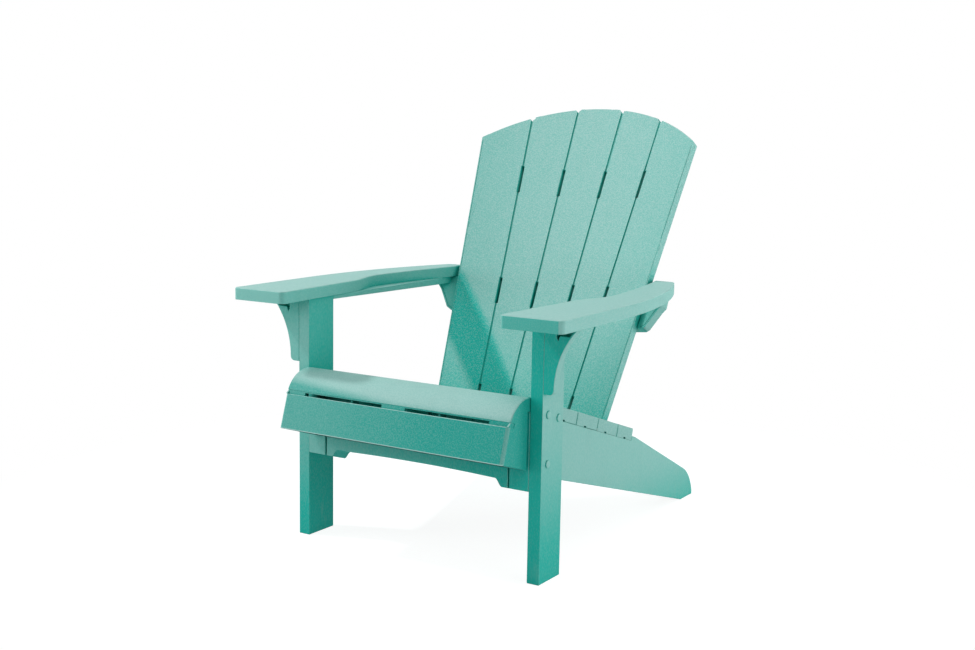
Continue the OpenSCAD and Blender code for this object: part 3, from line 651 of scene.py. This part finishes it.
@dataclass(frozen=True)
class Zinc:
    """Zinc-plated steel, a little dulled outdoors.

    Attributes:
        name: the material's name.
        bright: the plating's colour.
        dull: its colour where it has whitened.
    """

    name: str = "zinc_plated_steel"
    bright: Colour = (0.62, 0.63, 0.65)
    dull: Colour = (0.40, 0.41, 0.41)

    def material(self) -> bpy.types.Material:
        """Build the material.

        Returns:
            The finished material.
        """
        material = bpy.data.materials.new(self.name)
        graph = Graph(material)
        bloom = graph.noise(graph.place(), 260.0, 3.0)
        brushed = graph.noise(graph.place((1.0, 1.0, 6.0)), 900.0, 1.0)
        dulled = bloom.ramp(0.42, 0.66)
        shader = graph.shader(
            "ShaderNodeBsdfPrincipled",
            {
                "Base Color": graph.blend(dulled, self.bright, self.dull),
                "Metallic": 1.0 - dulled * 0.35,
                "Roughness": 0.30 + dulled * 0.28 + (brushed - 0.5) * 0.10,
                "Normal": graph.bump(brushed, 0.02 * MM, 0.5),
            },
        )
        graph.surface(shader)
        return material


@dataclass(frozen=True)
class PaleFloor:
    """A plain pale studio floor that keeps a soft shadow.

    Attributes:
        name: the material's name.
        tone: the floor's own colour, which the camera sees.
        bounce: the colour that it throws back on the chair.
        glow: how much of the pale backdrop the camera sees in it.
        calm: how far from the chair the floor starts to run into the backdrop.
    """

    name: str = "pale_floor"
    tone: Colour = (0.26, 0.27, 0.27)
    bounce: Colour = (0.60, 0.62, 0.62)
    glow: float = 0.90
    calm: float = 1.3

    def material(self) -> bpy.types.Material:
        """Build the material.

        Returns:
            The finished material.
        """
        material = bpy.data.materials.new(self.name)
        graph = Graph(material)
        grain = graph.noise(graph.place(), 60.0, 2.0)
        paler = tuple(1.08 * c for c in self.tone)
        paint = graph.shader(
            "ShaderNodeBsdfPrincipled",
            {
                "Base Color": graph.blend(grain * 0.4, self.tone, paler),
                "Roughness": 1.0,
                "Specular IOR Level": 0.0,
            },
        )
        thrown = graph.shader("ShaderNodeBsdfDiffuse", {"Color": (*self.bounce, 1.0)})
        white = (*WHITE, 1.0)
        glow = graph.shader("ShaderNodeEmission", {"Color": white, "Strength": self.glow})
        backdrop = graph.shader("ShaderNodeEmission", {"Color": white, "Strength": 1.0})
        lit = graph.shader("ShaderNodeAddShader", {0: paint, 1: glow})
        across, back = graph.coordinate(0), graph.coordinate(1)
        away = ((across * across + back * back) ** 0.5).ramp(0.5 * self.calm, self.calm)
        shown = graph.mix(away, lit, backdrop)
        graph.surface(graph.mix(graph.seen(), thrown, shown))
        return material


# -------------------------------------------------------------------------------------------------
# Mesh work
# -------------------------------------------------------------------------------------------------


@dataclass(frozen=True)
class Rounding:
    """One pass of edge rounding.

    Attributes:
        picks: says which edges are rounded.
        radius: the rounding's radius.
        segments: how many facets it has.
    """

    picks: EdgeTest
    radius: float
    segments: int = 2


def stand(name: str, data: bpy.types.ID) -> bpy.types.Object:
    """Put a mesh, a lamp or a camera in the scene.

    Args:
        name: the object's name.
        data: what the object shows.

    Returns:
        The object.
    """
    made = bpy.data.objects.new(name, data)
    bpy.context.scene.collection.objects.link(made)
    return made


def frame_copy(node: str) -> bmesh.types.BMesh:
    """Take an editable copy of a frame node with its loose triangles merged into faces.

    Args:
        node: the node's name.

    Returns:
        The merged copy.
    """
    bm = bmesh.new()
    bm.from_mesh(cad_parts[node].data)
    for layer in list(bm.loops.layers.uv):
        bm.loops.layers.uv.remove(layer)
    bmesh.ops.remove_doubles(bm, verts=bm.verts, dist=SAME_PLACE)
    bmesh.ops.dissolve_limit(
        bm, angle_limit=FLAT_ANGLE, use_dissolve_boundaries=False, verts=bm.verts, edges=bm.edges
    )
    return bm


def corner(edge: bmesh.types.BMEdge, least: float) -> bool:
    """Tell whether an edge is an outward corner.

    Args:
        edge: the edge.
        least: the least turn from one face to the other, in degrees.

    Returns:
        True for an outward corner.
    """
    if len(edge.link_faces) != 2 or not edge.is_convex:
        return False
    return edge.calc_face_angle(0.0) > math.radians(least)


def has_depth(edge: bmesh.types.BMEdge, depth: float) -> bool:
    """Tell whether both faces beside an edge reach at least so far away from it.

    Args:
        edge: an edge between two faces.
        depth: the reach in metres.

    Returns:
        True if both do.
    """
    start = edge.verts[0].co
    along = (edge.verts[1].co - start).normalized()
    return all(
        any((v.co - start).cross(along).length > depth for v in face.verts)
        for face in edge.link_faces
    )


def roomy(radius: float) -> EdgeTest:
    """Make a test for the outward corners whose faces have room for a rounding.

    Args:
        radius: the rounding's radius.

    Returns:
        The test.
    """
    return lambda edge: corner(edge, ROUNDED_CORNER) and has_depth(edge, ROUNDING_ROOM * radius)


def between(edge: bmesh.types.BMEdge, one: NormalTest, other: NormalTest) -> bool:
    """Tell whether an edge's two faces point the two given ways.

    Args:
        edge: the edge.
        one: the test for one face's normal.
        other: the test for the other face's normal.

    Returns:
        True if they do, in either order.
    """
    first, second = (f.normal for f in edge.link_faces)
    return (one(first) and other(second)) or (one(second) and other(first))


def folds(bm: bmesh.types.BMesh) -> list[Vector]:
    """Find the edges where two faces lie folded back on each other.

    Args:
        bm: the mesh.

    Returns:
        The middle of each such edge.
    """
    bm.normal_update()
    paired = [e for e in bm.edges if len(e.link_faces) == 2]
    return [
        (e.verts[0].co + e.verts[1].co) / 2.0
        for e in paired
        if e.link_faces[0].normal.dot(e.link_faces[1].normal) < FOLD_COSINE
    ]


def beside(edge: bmesh.types.BMEdge, points: Iterable[Vector], reach: float) -> bool:
    """Tell whether any of the points lies close to an edge.

    Args:
        edge: the edge.
        points: the points.
        reach: the distance that counts as close.

    Returns:
        True if one does.
    """
    start, way = edge.verts[0].co, edge.verts[1].co - edge.verts[0].co
    square = max(way.length_squared, SAME_PLACE**2)
    for point in points:
        share = min(1.0, max(0.0, (point - start).dot(way) / square))
        if (start + way * share - point).length < reach:
            return True
    return False


def rounded(bm: bmesh.types.BMesh, picked: Sequence[int], step: Rounding) -> bmesh.types.BMesh:
    """Copy a mesh and round some edges of the copy.

    Args:
        bm: the mesh, left as it is.
        picked: the numbers of the edges.
        step: the pass that they belong to.

    Returns:
        The copy.
    """
    copy = bm.copy()
    if not picked:
        return copy
    copy.edges.ensure_lookup_table()
    bmesh.ops.bevel(
        copy,
        geom=[copy.edges[i] for i in picked],
        offset=step.radius,
        offset_type="OFFSET",
        segments=step.segments,
        profile=0.5,
        affect="EDGES",
        clamp_overlap=False,
        loop_slide=True,
        material=-1,
    )
    bmesh.ops.remove_doubles(copy, verts=copy.verts, dist=2.0 * SAME_PLACE)
    return copy


def round_pass(bm: bmesh.types.BMesh, step: Rounding) -> tuple[bmesh.types.BMesh, int]:
    """Round the edges that one pass picks, apart from those whose rounding folds the faces.

    Args:
        bm: the mesh, left as it is.
        step: the pass.

    Returns:
        The rounded copy, and how many edges the pass took.
    """
    bm.edges.index_update()
    bm.edges.ensure_lookup_table()
    picked = [e.index for e in bm.edges if step.picks(e)]
    known = folds(bm)
    for _ in range(ROUNDING_TRIES):
        trial = rounded(bm, picked, step)
        made = [p for p in folds(trial) if all((p - k).length > FOLD_APART for k in known)]
        kept = [i for i in picked if not beside(bm.edges[i], made, 2.0 * step.radius)]
        if len(kept) == len(picked):
            return trial, len(picked)
        picked = kept
        trial.free()
    return bm.copy(), 0


def round_edges(
    bm: bmesh.types.BMesh, roundings: Iterable[Rounding]
) -> tuple[bmesh.types.BMesh, list[int]]:
    """Round the picked edges of a mesh, one pass after another.

    Args:
        bm: the mesh, which is freed.
        roundings: the passes, widest first.

    Returns:
        The rounded mesh, and how many edges each pass took.
    """
    taken = []
    for step in roundings:
        done, count = round_pass(bm, step)
        bm.free()
        bm = done
        taken.append(count)
    return bm, taken


def finish_piece(bm: bmesh.types.BMesh, name: str, node: str) -> bpy.types.Object:
    """Turn a mesh into a finished piece that stands for a frame node.

    Args:
        bm: the mesh, freed here.
        name: the piece's name.
        node: the frame node that it replaces.

    Returns:
        The piece.
    """
    mesh = bpy.data.meshes.new(name)
    bmesh.ops.recalc_face_normals(bm, faces=bm.faces)
    bm.to_mesh(mesh)
    bm.free()
    for extra in [a.name for a in mesh.attributes if a.name in ("custom_normal", "sharp_face")]:
        mesh.attributes.remove(mesh.attributes[extra])
    mesh.polygons.foreach_set("use_smooth", [True] * len(mesh.polygons))
    mesh.set_sharp_from_angle(angle=CREASE_ANGLE)
    piece = stand(name, mesh)
    weighted = piece.modifiers.new("flat_faces", "WEIGHTED_NORMAL")
    weighted.keep_sharp = True
    weighted.weight = 80
    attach(piece, BODY)
    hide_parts(node)
    return piece


@dataclass(frozen=True)
class Spot:
    """Where a fastener's head sits.

    Attributes:
        centre: the middle of the head's outer face.
        outward: the way that the head faces.
        radius: the head's radius.
        length: the fastener's whole length.
    """

    centre: Vector
    outward: Vector
    radius: float
    length: float


def islands(bm: bmesh.types.BMesh) -> list[set[bmesh.types.BMFace]]:
    """Sort the faces of a mesh into the separate bodies that they bound.

    Args:
        bm: the mesh.

    Returns:
        The faces of each body.
    """
    waiting = set(bm.faces)
    found = []
    while waiting:
        island = {waiting.pop()}
        rim = set(island)
        while rim:
            rim = {f for face in rim for e in face.edges for f in e.link_faces} & waiting
            waiting -= rim
            island |= rim
        found.append(island)
    return found


def head_spots(node: str) -> list[Spot]:
    """Find the heads of a frame node's fasteners.

    Args:
        node: the node's name.

    Returns:
        One spot for each fastener, in order of place.
    """
    bm = frame_copy(node)
    round_sides = 12
    spots = []
    for island in islands(bm):
        caps = [f for f in island if len(f.verts) >= round_sides]
        cap = max(caps, key=lambda f: f.calc_area())
        centre = sum((v.co for v in cap.verts), Vector()) / len(cap.verts)
        radius = max((v.co - centre).length for v in cap.verts)
        reach = [v.co.dot(cap.normal) for f in island for v in f.verts]
        spots.append(Spot(centre.copy(), cap.normal.copy(), radius, max(reach) - min(reach)))
    bm.free()
    return sorted(spots, key=lambda s: tuple(round(c, 5) for c in s.centre))


# -------------------------------------------------------------------------------------------------
# Sub-assemblies
# -------------------------------------------------------------------------------------------------


@dataclass
class Moulded:
    """A sub-assembly of resin mouldings.

    Attributes:
        finish: the resin.
        fine: the rounding of the outward edges that have no other.
        shortest: the length below which an edge isn't given it.
        pieces: the finished pieces.
    """

    finish: Resin
    fine: float = 0.6 * MM
    shortest: float = 6.0 * MM
    pieces: list[bpy.types.Object] = field(default_factory=list)

    def mould(self, node: str, name: str, steps: Sequence[Rounding]) -> None:
        """Round the edges of a frame node's copy and make the piece that stands for it.

        Args:
            node: the frame node.
            name: the piece's name.
            steps: the roundings, widest first.
        """
        steps = (*steps, Rounding(self.fine_edge, self.fine))
        bm, taken = round_edges(frame_copy(node), steps)
        self.pieces.append(finish_piece(bm, name, node))
        log.info("%s stands for %s, rounded edges: %s", name, node, taken)

    def fine_edge(self, edge: bmesh.types.BMEdge) -> bool:
        """Pick the outward edges that are long enough for the fine rounding."""
        return roomy(self.fine)(edge) and edge.calc_length() > self.shortest

    def build(self) -> None:
        """Make the pieces, in the way of the sub-assembly."""
        raise NotImplementedError

    def dress(self) -> None:
        """Give each piece the resin."""
        material = self.finish.material()
        for piece in self.pieces:
            piece.data.materials.append(material)


@dataclass
class Seat(Moulded):
    """The one-piece seat with its rolled front, shadow gap and apron.

    Attributes:
        side: the rounding of the long edges along the seat's two sides and the ends of the roll.
        lip: the rounding of the lips above and below the shadow gap.
        hem: the height of the apron's lower edge, which keeps the fine rounding.
        hem_band: how far above the hem the fine rounding still holds.
    """

    side: float = 3.0 * MM
    lip: float = 1.6 * MM
    hem: float = 0.0
    hem_band: float = 5.0 * MM

    @staticmethod
    def ahead_or_up(normal: Vector) -> bool:
        """Tell whether a face looks ahead or up, and not to a side."""
        return abs(normal.x) < 0.3 and (normal.z > 0.2 or normal.y < -0.2)

    def side_edge(self, edge: bmesh.types.BMEdge) -> bool:
        """Pick the edges between the side walls and the top, the roll or the apron."""
        if not roomy(self.side)(edge):
            return False
        return between(edge, lambda n: abs(n.x) > 0.9, self.ahead_or_up)

    def lip_edge(self, edge: bmesh.types.BMEdge) -> bool:
        """Pick the level lips that run across the seat's front, above the apron's hem."""
        if edge.verts[0].co.z < self.hem + self.hem_band or not roomy(self.lip)(edge):
            return False
        return between(edge, lambda n: abs(n.z) > 0.85, lambda n: abs(n.z) < 0.6)

    def build(self) -> None:
        """Make the seat's moulding."""
        steps = (Rounding(self.side_edge, self.side, 4), Rounding(self.lip_edge, self.lip, 3))
        self.mould("seat_panel", "seat_moulding", steps)


@dataclass
class FanBack(Moulded):
    """The one-piece fan back.

    Attributes:
        shoulder: the rounding of the slats' top corners.
        shoulder_turn: the least angle of such a corner, in degrees.
        shoulder_length: the length above which its edge is rounded.
        rim: the rounding of the back's outline.
        crest: the height of the back's top, taken from the frame.
        notch: how far below the crest the slats' corners reach.
    """

    shoulder: float = 3.4 * MM
    shoulder_turn: float = 28.0
    shoulder_length: float = 12.0 * MM
    rim: float = 2.0 * MM
    crest: float = 0.0
    notch: float = 0.12

    def shoulder_edge(self, edge: bmesh.types.BMEdge) -> bool:
        """Pick the edges from front to back where a slat's top meets the notch beside it."""
        along = (edge.verts[1].co - edge.verts[0].co).normalized()
        high = min(v.co.z for v in edge.verts) > self.crest - self.notch
        if not high or not corner(edge, self.shoulder_turn):
            return False
        return abs(along.x) < 0.08 and edge.calc_length() > self.shoulder_length

    def build(self) -> None:
        """Make the back."""
        self.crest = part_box("back_panel")[1][2]
        shoulders = Rounding(self.shoulder_edge, self.shoulder, 4)
        outline = Rounding(roomy(self.rim), self.rim, 3)
        self.mould("back_panel", "back_moulding", (shoulders, outline))


@dataclass
class Arms(Moulded):
    """The two paddle arms and the support rails under them.

    Attributes:
        brim: the rounding of the arms' top outline.
        brim_turn: the least angle of that outline's edge, in degrees.
        rail: the rounding of the support rails.
    """

    brim: float = 3.0 * MM
    brim_turn: float = 60.0
    rail: float = 1.2 * MM

    def brim_edge(self, edge: bmesh.types.BMEdge) -> bool:
        """Pick the outline of an arm's top."""
        if not corner(edge, self.brim_turn):
            return False
        return between(edge, lambda n: n.z > 0.98, lambda n: abs(n.z) < 0.2)

    def build(self) -> None:
        """Make both arms and both rails."""
        brim = Rounding(self.brim_edge, self.brim, 4)
        rail = Rounding(roomy(self.rail), self.rail, 3)
        for side in ("left", "right"):
            self.mould(f"{side}_arm", f"{side}_arm_moulding", (brim,))
            self.mould(f"{side}_arm_support_rail", f"{side}_support_moulding", (rail,))


@dataclass
class Framework(Moulded):
    """Plain mouldings of the chair's framework that share a finish.

    Attributes:
        nodes: the CAD nodes and the name of the piece that each becomes.
        edge: the rounding of their outlines.
    """

    nodes: dict[str, str] = field(default_factory=dict)
    edge: float = 1.4 * MM

    def build(self) -> None:
        """Make each moulding."""
        for node, name in self.nodes.items():
            self.mould(node, name, (Rounding(roomy(self.edge), self.edge, 3),))


@dataclass
class Fasteners:
    """The fasteners of one frame node, turned about their own axes.

    Attributes:
        node: the frame node.
        name: the piece's name.
        profile: the head's outline from its middle outwards, as shares of its radius and metres of
            depth below its outer face.
        stem: the radius of the part behind the head.
        recess: how deep the driver's cross goes, or 0 for none.
        slot: the record's material slot; not used.
        cross: half the width and half the span of that cross, as shares of the head's radius.
        cross_floor: the cross's size at its floor, as a share of its size at the top.
        pieces: the finished pieces.
    """

    node: str
    name: str
    profile: tuple[tuple[float, float], ...]
    stem: float
    recess: float = 0.0
    slot: str = "screw_steel"
    cross: tuple[float, float] = (0.11, 0.50)
    cross_floor: float = 0.8
    pieces: list[bpy.types.Object] = field(default_factory=list)

    def turned(self, spot: Spot) -> bmesh.types.BMesh:
        """Turn one fastener about +Z, with its outer face at Z = 0.

        Args:
            spot: where its head sits.

        Returns:
            The closed mesh.
        """
        bm = bmesh.new()
        outline = [(spot.radius * share, -depth) for share, depth in self.profile]
        outline += [(self.stem, outline[-1][1]), (self.stem, -spot.length), (0.0, -spot.length)]
        points = [bm.verts.new((across, 0.0, up)) for across, up in outline]
        edges = [bm.edges.new(pair) for pair in zip(points, points[1:])]
        bmesh.ops.spin(
            bm,
            geom=[*points, *edges],
            cent=(0.0, 0.0, 0.0),
            axis=(0.0, 0.0, 1.0),
            angle=math.tau,
            steps=32,
            use_merge=True,
            use_duplicate=False,
        )
        bmesh.ops.remove_doubles(bm, verts=bm.verts, dist=0.5 * SAME_PLACE)
        bmesh.ops.recalc_face_normals(bm, faces=bm.faces)
        if self.recess > 0:
            self.sink_cross(bm, spot.radius)
        return bm

    def sink_cross(self, bm: bmesh.types.BMesh, radius: float) -> None:
        """Sink the driver's cross into the head.

        Args:
            bm: the turned fastener.
            radius: the head's radius.
        """
        half, reach = (share * radius for share in self.cross)
        for axis in (Vector((1.0, 0.0, 0.0)), Vector((0.0, 1.0, 0.0))):
            for place in (-reach, -half, half, reach):
                top = [f for f in self.facing_out(bm) if f.calc_center_median().z > -1.5 * MM]
                rims = {part for face in top for part in (*face.edges, *face.verts)}
                bmesh.ops.bisect_plane(
                    bm, geom=[*top, *rims], dist=0.002 * MM, plane_co=axis * place, plane_no=axis
                )
        cross = []
        for face in self.facing_out(bm):
            near, far = sorted(abs(place) for place in face.calc_center_median().xy)
            if near < half and far < reach:
                cross.append(face)
        sunk = bmesh.ops.extrude_face_region(bm, geom=cross)["geom"]
        bmesh.ops.delete(bm, geom=cross, context="FACES")
        low = [v for v in sunk if isinstance(v, bmesh.types.BMVert)]
        bmesh.ops.translate(bm, verts=low, vec=(0.0, 0.0, -self.recess))
        bmesh.ops.scale(bm, verts=low, vec=(self.cross_floor, self.cross_floor, 1.0))

    @staticmethod
    def facing_out(bm: bmesh.types.BMesh) -> list[bmesh.types.BMFace]:
        """List the faces of a turned fastener that look outwards along its axis."""
        return [face for face in bm.faces if face.normal.z > 0.7]

    def build(self) -> None:
        """Turn every fastener of the node and set each in its place."""
        whole = bpy.data.meshes.new(self.name)
        gathered = bmesh.new()
        for spot in head_spots(self.node):
            bm = self.turned(spot)
            turn = spot.outward.to_track_quat("Z", "Y").to_matrix().to_4x4()
            bm.transform(Matrix.Translation(spot.centre) @ turn)
            bm.to_mesh(whole)
            bm.free()
            gathered.from_mesh(whole)
        bpy.data.meshes.remove(whole)
        self.pieces.append(finish_piece(gathered, self.name, self.node))
        log.info("%s stands for %s", self.name, self.node)

    def dress(self, material: bpy.types.Material) -> None:
        """Give the fasteners their finish.

        Args:
            material: the finish.
        """
        for piece in self.pieces:
            piece.data.materials.append(material)


# -------------------------------------------------------------------------------------------------
# Studio
# -------------------------------------------------------------------------------------------------


@dataclass(frozen=True)
class SoftBox:
    """A square studio lamp.

    Attributes:
        name: the lamp's name.
        place: where it stands.
        aim: what it points at.
        size: its side.
        power: its power in watts.
        tint: its colour.
    """

    name: str
    place: tuple[float, float, float]
    aim: tuple[float, float, float]
    size: float
    power: float
    tint: Colour = WHITE

    def build(self) -> None:
        """Make the lamp."""
        data = bpy.data.lights.new(self.name, "AREA")
        data.shape = "SQUARE"
        data.size = self.size
        data.energy = self.power
        data.color = self.tint
        lamp = stand(self.name, data)
        lamp.location = self.place
        way = Vector(self.aim) - Vector(self.place)
        lamp.rotation_mode = "QUATERNION"
        lamp.rotation_quaternion = way.to_track_quat("-Z", "Y")
        lamp.visible_camera = False


@dataclass
class Studio:
    """The floor, the lamps, the pale surroundings and the camera.

    Attributes:
        lamps: the lamps.
        ambient: the level of the surroundings' light.
        air: its colour.
        eye: where the camera stands.
        yaw: its turn from +Y towards -X, in radians.
        pitch: its tilt upwards, in radians.
        roll: its turn about its own axis, in radians.
        lens: its focal length in millimetres on a 36 mm sensor.
        spread: how far the floor reaches from the chair.
    """

    lamps: Sequence[SoftBox]
    ambient: float = 0.22
    air: Colour = (0.80, 1.0, 0.98)
    eye: tuple[float, float, float] = (1.57462, -2.60307, 0.90258)
    yaw: float = 0.5576485
    pitch: float = -0.1458429
    roll: float = 0.0174911
    lens: float = 49.463
    spread: float = 14.0

    def floor(self) -> None:
        """Lay the floor."""
        bm = bmesh.new()
        bmesh.ops.create_grid(bm, x_segments=8, y_segments=8, size=self.spread)
        mesh = bpy.data.meshes.new("studio_floor")
        bm.to_mesh(mesh)
        bm.free()
        mesh.materials.append(PaleFloor().material())
        ground = stand("studio_floor", mesh)
        log.info("studio_floor laid")

    def surroundings(self) -> None:
        """Set the even light around the chair and the pale backdrop that the camera sees."""
        world = bpy.data.worlds.new("pale_surroundings")
        bpy.context.scene.world = world
        graph = Graph(world)
        kind = "ShaderNodeBackground"
        soft = graph.shader(kind, {"Color": (*self.air, 1.0), "Strength": self.ambient})
        plain = graph.shader(kind, {"Color": (*WHITE, 1.0), "Strength": 1.0})
        shown = graph.mix(graph.seen(), soft, plain)
        graph.node("ShaderNodeOutputWorld", None, {"Surface": shown})

    def camera(self) -> None:
        """Stand the camera and make it the scene's own."""
        forward = Vector(
            (
                -math.sin(self.yaw) * math.cos(self.pitch),
                math.cos(self.yaw) * math.cos(self.pitch),
                math.sin(self.pitch),
            )
        )
        level = Vector((math.cos(self.yaw), math.sin(self.yaw), 0.0))
        above = level.cross(forward)
        right = level * math.cos(self.roll) + above * math.sin(self.roll)
        up = above * math.cos(self.roll) - level * math.sin(self.roll)
        turn = Matrix((right, up, -forward)).transposed()
        data = bpy.data.cameras.new("studio_camera")
        data.sensor_fit = "HORIZONTAL"
        data.sensor_width = 36.0
        data.lens = self.lens
        data.clip_start, data.clip_end = 0.05, 60.0
        eye = stand("studio_camera", data)
        eye.rotation_mode = "QUATERNION"
        eye.location = self.eye
        eye.rotation_quaternion = turn.to_quaternion()
        bpy.context.scene.camera = eye
        log.info("camera stands at %s", self.eye)

    def build(self) -> None:
        """Set up the whole studio."""
        bpy.context.scene.view_settings.view_transform = "Standard"
        self.camera()
        self.floor()
        self.surroundings()
        for lamp in self.lamps:
            lamp.build()


# -------------------------------------------------------------------------------------------------
# The chair
# -------------------------------------------------------------------------------------------------


# Outlines of the heads, from the middle outwards: shares of the radius and depths below the top.
CAP_DOME = (
    (0.0, 0.0),
    (0.55, 0.06 * MM),
    (0.80, 0.28 * MM),
    (0.93, 0.75 * MM),
    (0.99, 1.50 * MM),
    (1.0, 2.98 * MM),
)
PAN_HEAD = ((0.0, 0.0), (0.62, 0.10 * MM), (0.86, 0.55 * MM), (0.98, 1.4 * MM), (1.0, 2.98 * MM))
CAP_STEM = 6.5 * MM
SCREW_STEM = 2.5 * MM
CROSS_DEPTH = 1.3 * MM
SCREWS = {
    "front_bracket_screws": "bracket_pan_screws",
    "arm_support_screws": "arm_support_pan_screws",
    "arm_to_crossbar_screws": "arm_pan_screws",
    "back_upper_screws": "upper_back_pan_screws",
    "back_lower_screws": "lower_back_pan_screws",
    "lower_crossbar_screws": "lower_crossbar_pan_screws",
}
RAILS = {
    "left_side_rail": "left_rail_moulding",
    "right_side_rail": "right_rail_moulding",
    "front_crossbar": "front_crossbar_moulding",
    "rear_arm_crossbar": "rear_crossbar_moulding",
    "lower_back_crossbar": "lower_crossbar_moulding",
    "left_front_bracket": "left_bracket_moulding",
    "right_front_bracket": "right_bracket_moulding",
}
LEGS = {"left_front_leg": "left_leg_moulding", "right_front_leg": "right_leg_moulding"}
LAMPS = (
    SoftBox("key_lamp", (-3.388, -1.545, 3.689), (0.0, 0.1, 0.4), 0.30, 99.0),
    SoftBox("rear_left_box", (1.5, 2.6, 1.5), (0.2, 0.0, 0.35), 1.2, 7.0),
    SoftBox("low_rear_left_box", (1.9, 1.5, 0.5), (0.2, 0.0, 0.35), 1.0, 15.5),
    SoftBox("side_box", (3.4, 0.0, 1.5), (0.0, 0.0, 0.45), 2.0, 12.5),
    SoftBox("top_box", (0.2, 0.3, 3.4), (0.0, 0.0, 0.4), 2.4, 30.0),
    SoftBox("front_right_box", (-2.2, -2.0, 0.9), (-0.2, -0.3, 0.4), 1.2, 26.0),
    SoftBox("front_box", (1.0, -1.9, 1.9), (-0.25, -0.1, 0.4), 0.9, 6.5),
    SoftBox("low_front_left_box", (2.4, -1.0, 0.35), (-0.3, -0.3, 0.3), 0.8, 11.0),
)


def seat() -> Seat:
    """Describe the seat, darker than the rest, with a highlight painted along its lower front lip.

    Returns:
        The seat, not yet built.
    """
    apron = 50.0 * MM
    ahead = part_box("seat_panel")[0][1] + apron
    hem = min(v.co.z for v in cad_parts["seat_panel"].data.vertices if v.co.y < ahead)
    finish = Resin(
        "resin_seat",
        body=(0.008, 0.335, 0.282),
        deep=(0.001, 0.050, 0.040),
        painted_light_front=0.25,
        painted_corner_highlight=0.42,
        speckle=0.18,
        grain_depth=0.26 * MM,
        sides_from=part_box("left_front_leg")[1][1],
        painted_lip_highlight=1.0,
        lip_height=hem,
        lean=1.0,
        recess_shade_reach=0.06,
    )
    return Seat(finish, hem=hem)


def fan_back() -> FanBack:
    """Describe the back, the coarsest moulding, with the most painted light and one arm's painted
    shadow.

    Returns:
        The back, not yet built.
    """
    finish = Resin(
        "resin_back",
        deep=(0.001, 0.170, 0.135),
        speckle=0.46,
        grain_depth=0.50 * MM,
        front_grain=True,
        painted_light_up=1.4,
        shade_reach=0.45,
        painted_shadow=PaintedShadowCaster.over("right_arm"),
    )
    return FanBack(finish)


def arms() -> Arms:
    """Describe the arms and their support rails.

    Returns:
        The arms, not yet built.
    """
    finish = Resin(
        "resin_arms",
        Grain.FORE_AND_AFT,
        painted_light_inner=0.5,
        painted_light_front=0.58,
        front_evenness=0.4,
    )
    return Arms(finish)


def rails() -> Framework:
    """Describe the side rails, the crossbars and the brackets."""
    return Framework(Resin("resin_frame", Grain.UPRIGHT, painted_light_front=0.56), nodes=RAILS)


def legs() -> Framework:
    """Describe the front legs, with shade painted near the ground.

    Returns:
        The legs, not yet built.
    """
    finish = Resin(
        "resin_legs",
        Grain.UPRIGHT,
        painted_light_inner=0.20,
        painted_light_front=0.62,
        painted_shade_height=0.42,
    )
    return Framework(finish, nodes=LEGS, edge=1.8 * MM)


def fasten() -> None:
    """Make the bolt caps and the screws, and plate the fasteners that keep their frame shape."""
    caps = Fasteners("bolt_caps", "domed_bolt_caps", CAP_DOME, CAP_STEM, slot="cap_resin")
    caps.build()
    caps.dress(Resin("resin_caps", grain_strength=0.25, painted_corner_highlight=0.0).material())
    zinc = Zinc().material()
    for node, name in SCREWS.items():
        screws = Fasteners(node, name, PAN_HEAD, SCREW_STEM, recess=CROSS_DEPTH)
        screws.build()
        screws.dress(zinc)
    for name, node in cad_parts.items():
        if node.hide_render:
            continue
        node.data.materials.clear()
        node.data.materials.append(zinc)
        log.info("%s keeps its frame shape", name)


def main() -> None:
    """Build the studio and the chair."""
    logging.basicConfig(level=logging.INFO, format="%(name)s: %(message)s")
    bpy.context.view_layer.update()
    Studio(LAMPS).build()
    for assembly in (seat(), fan_back(), arms(), rails(), legs()):
        assembly.build()
        assembly.dress()
    fasten()


if __name__ == "__main__":
    main()
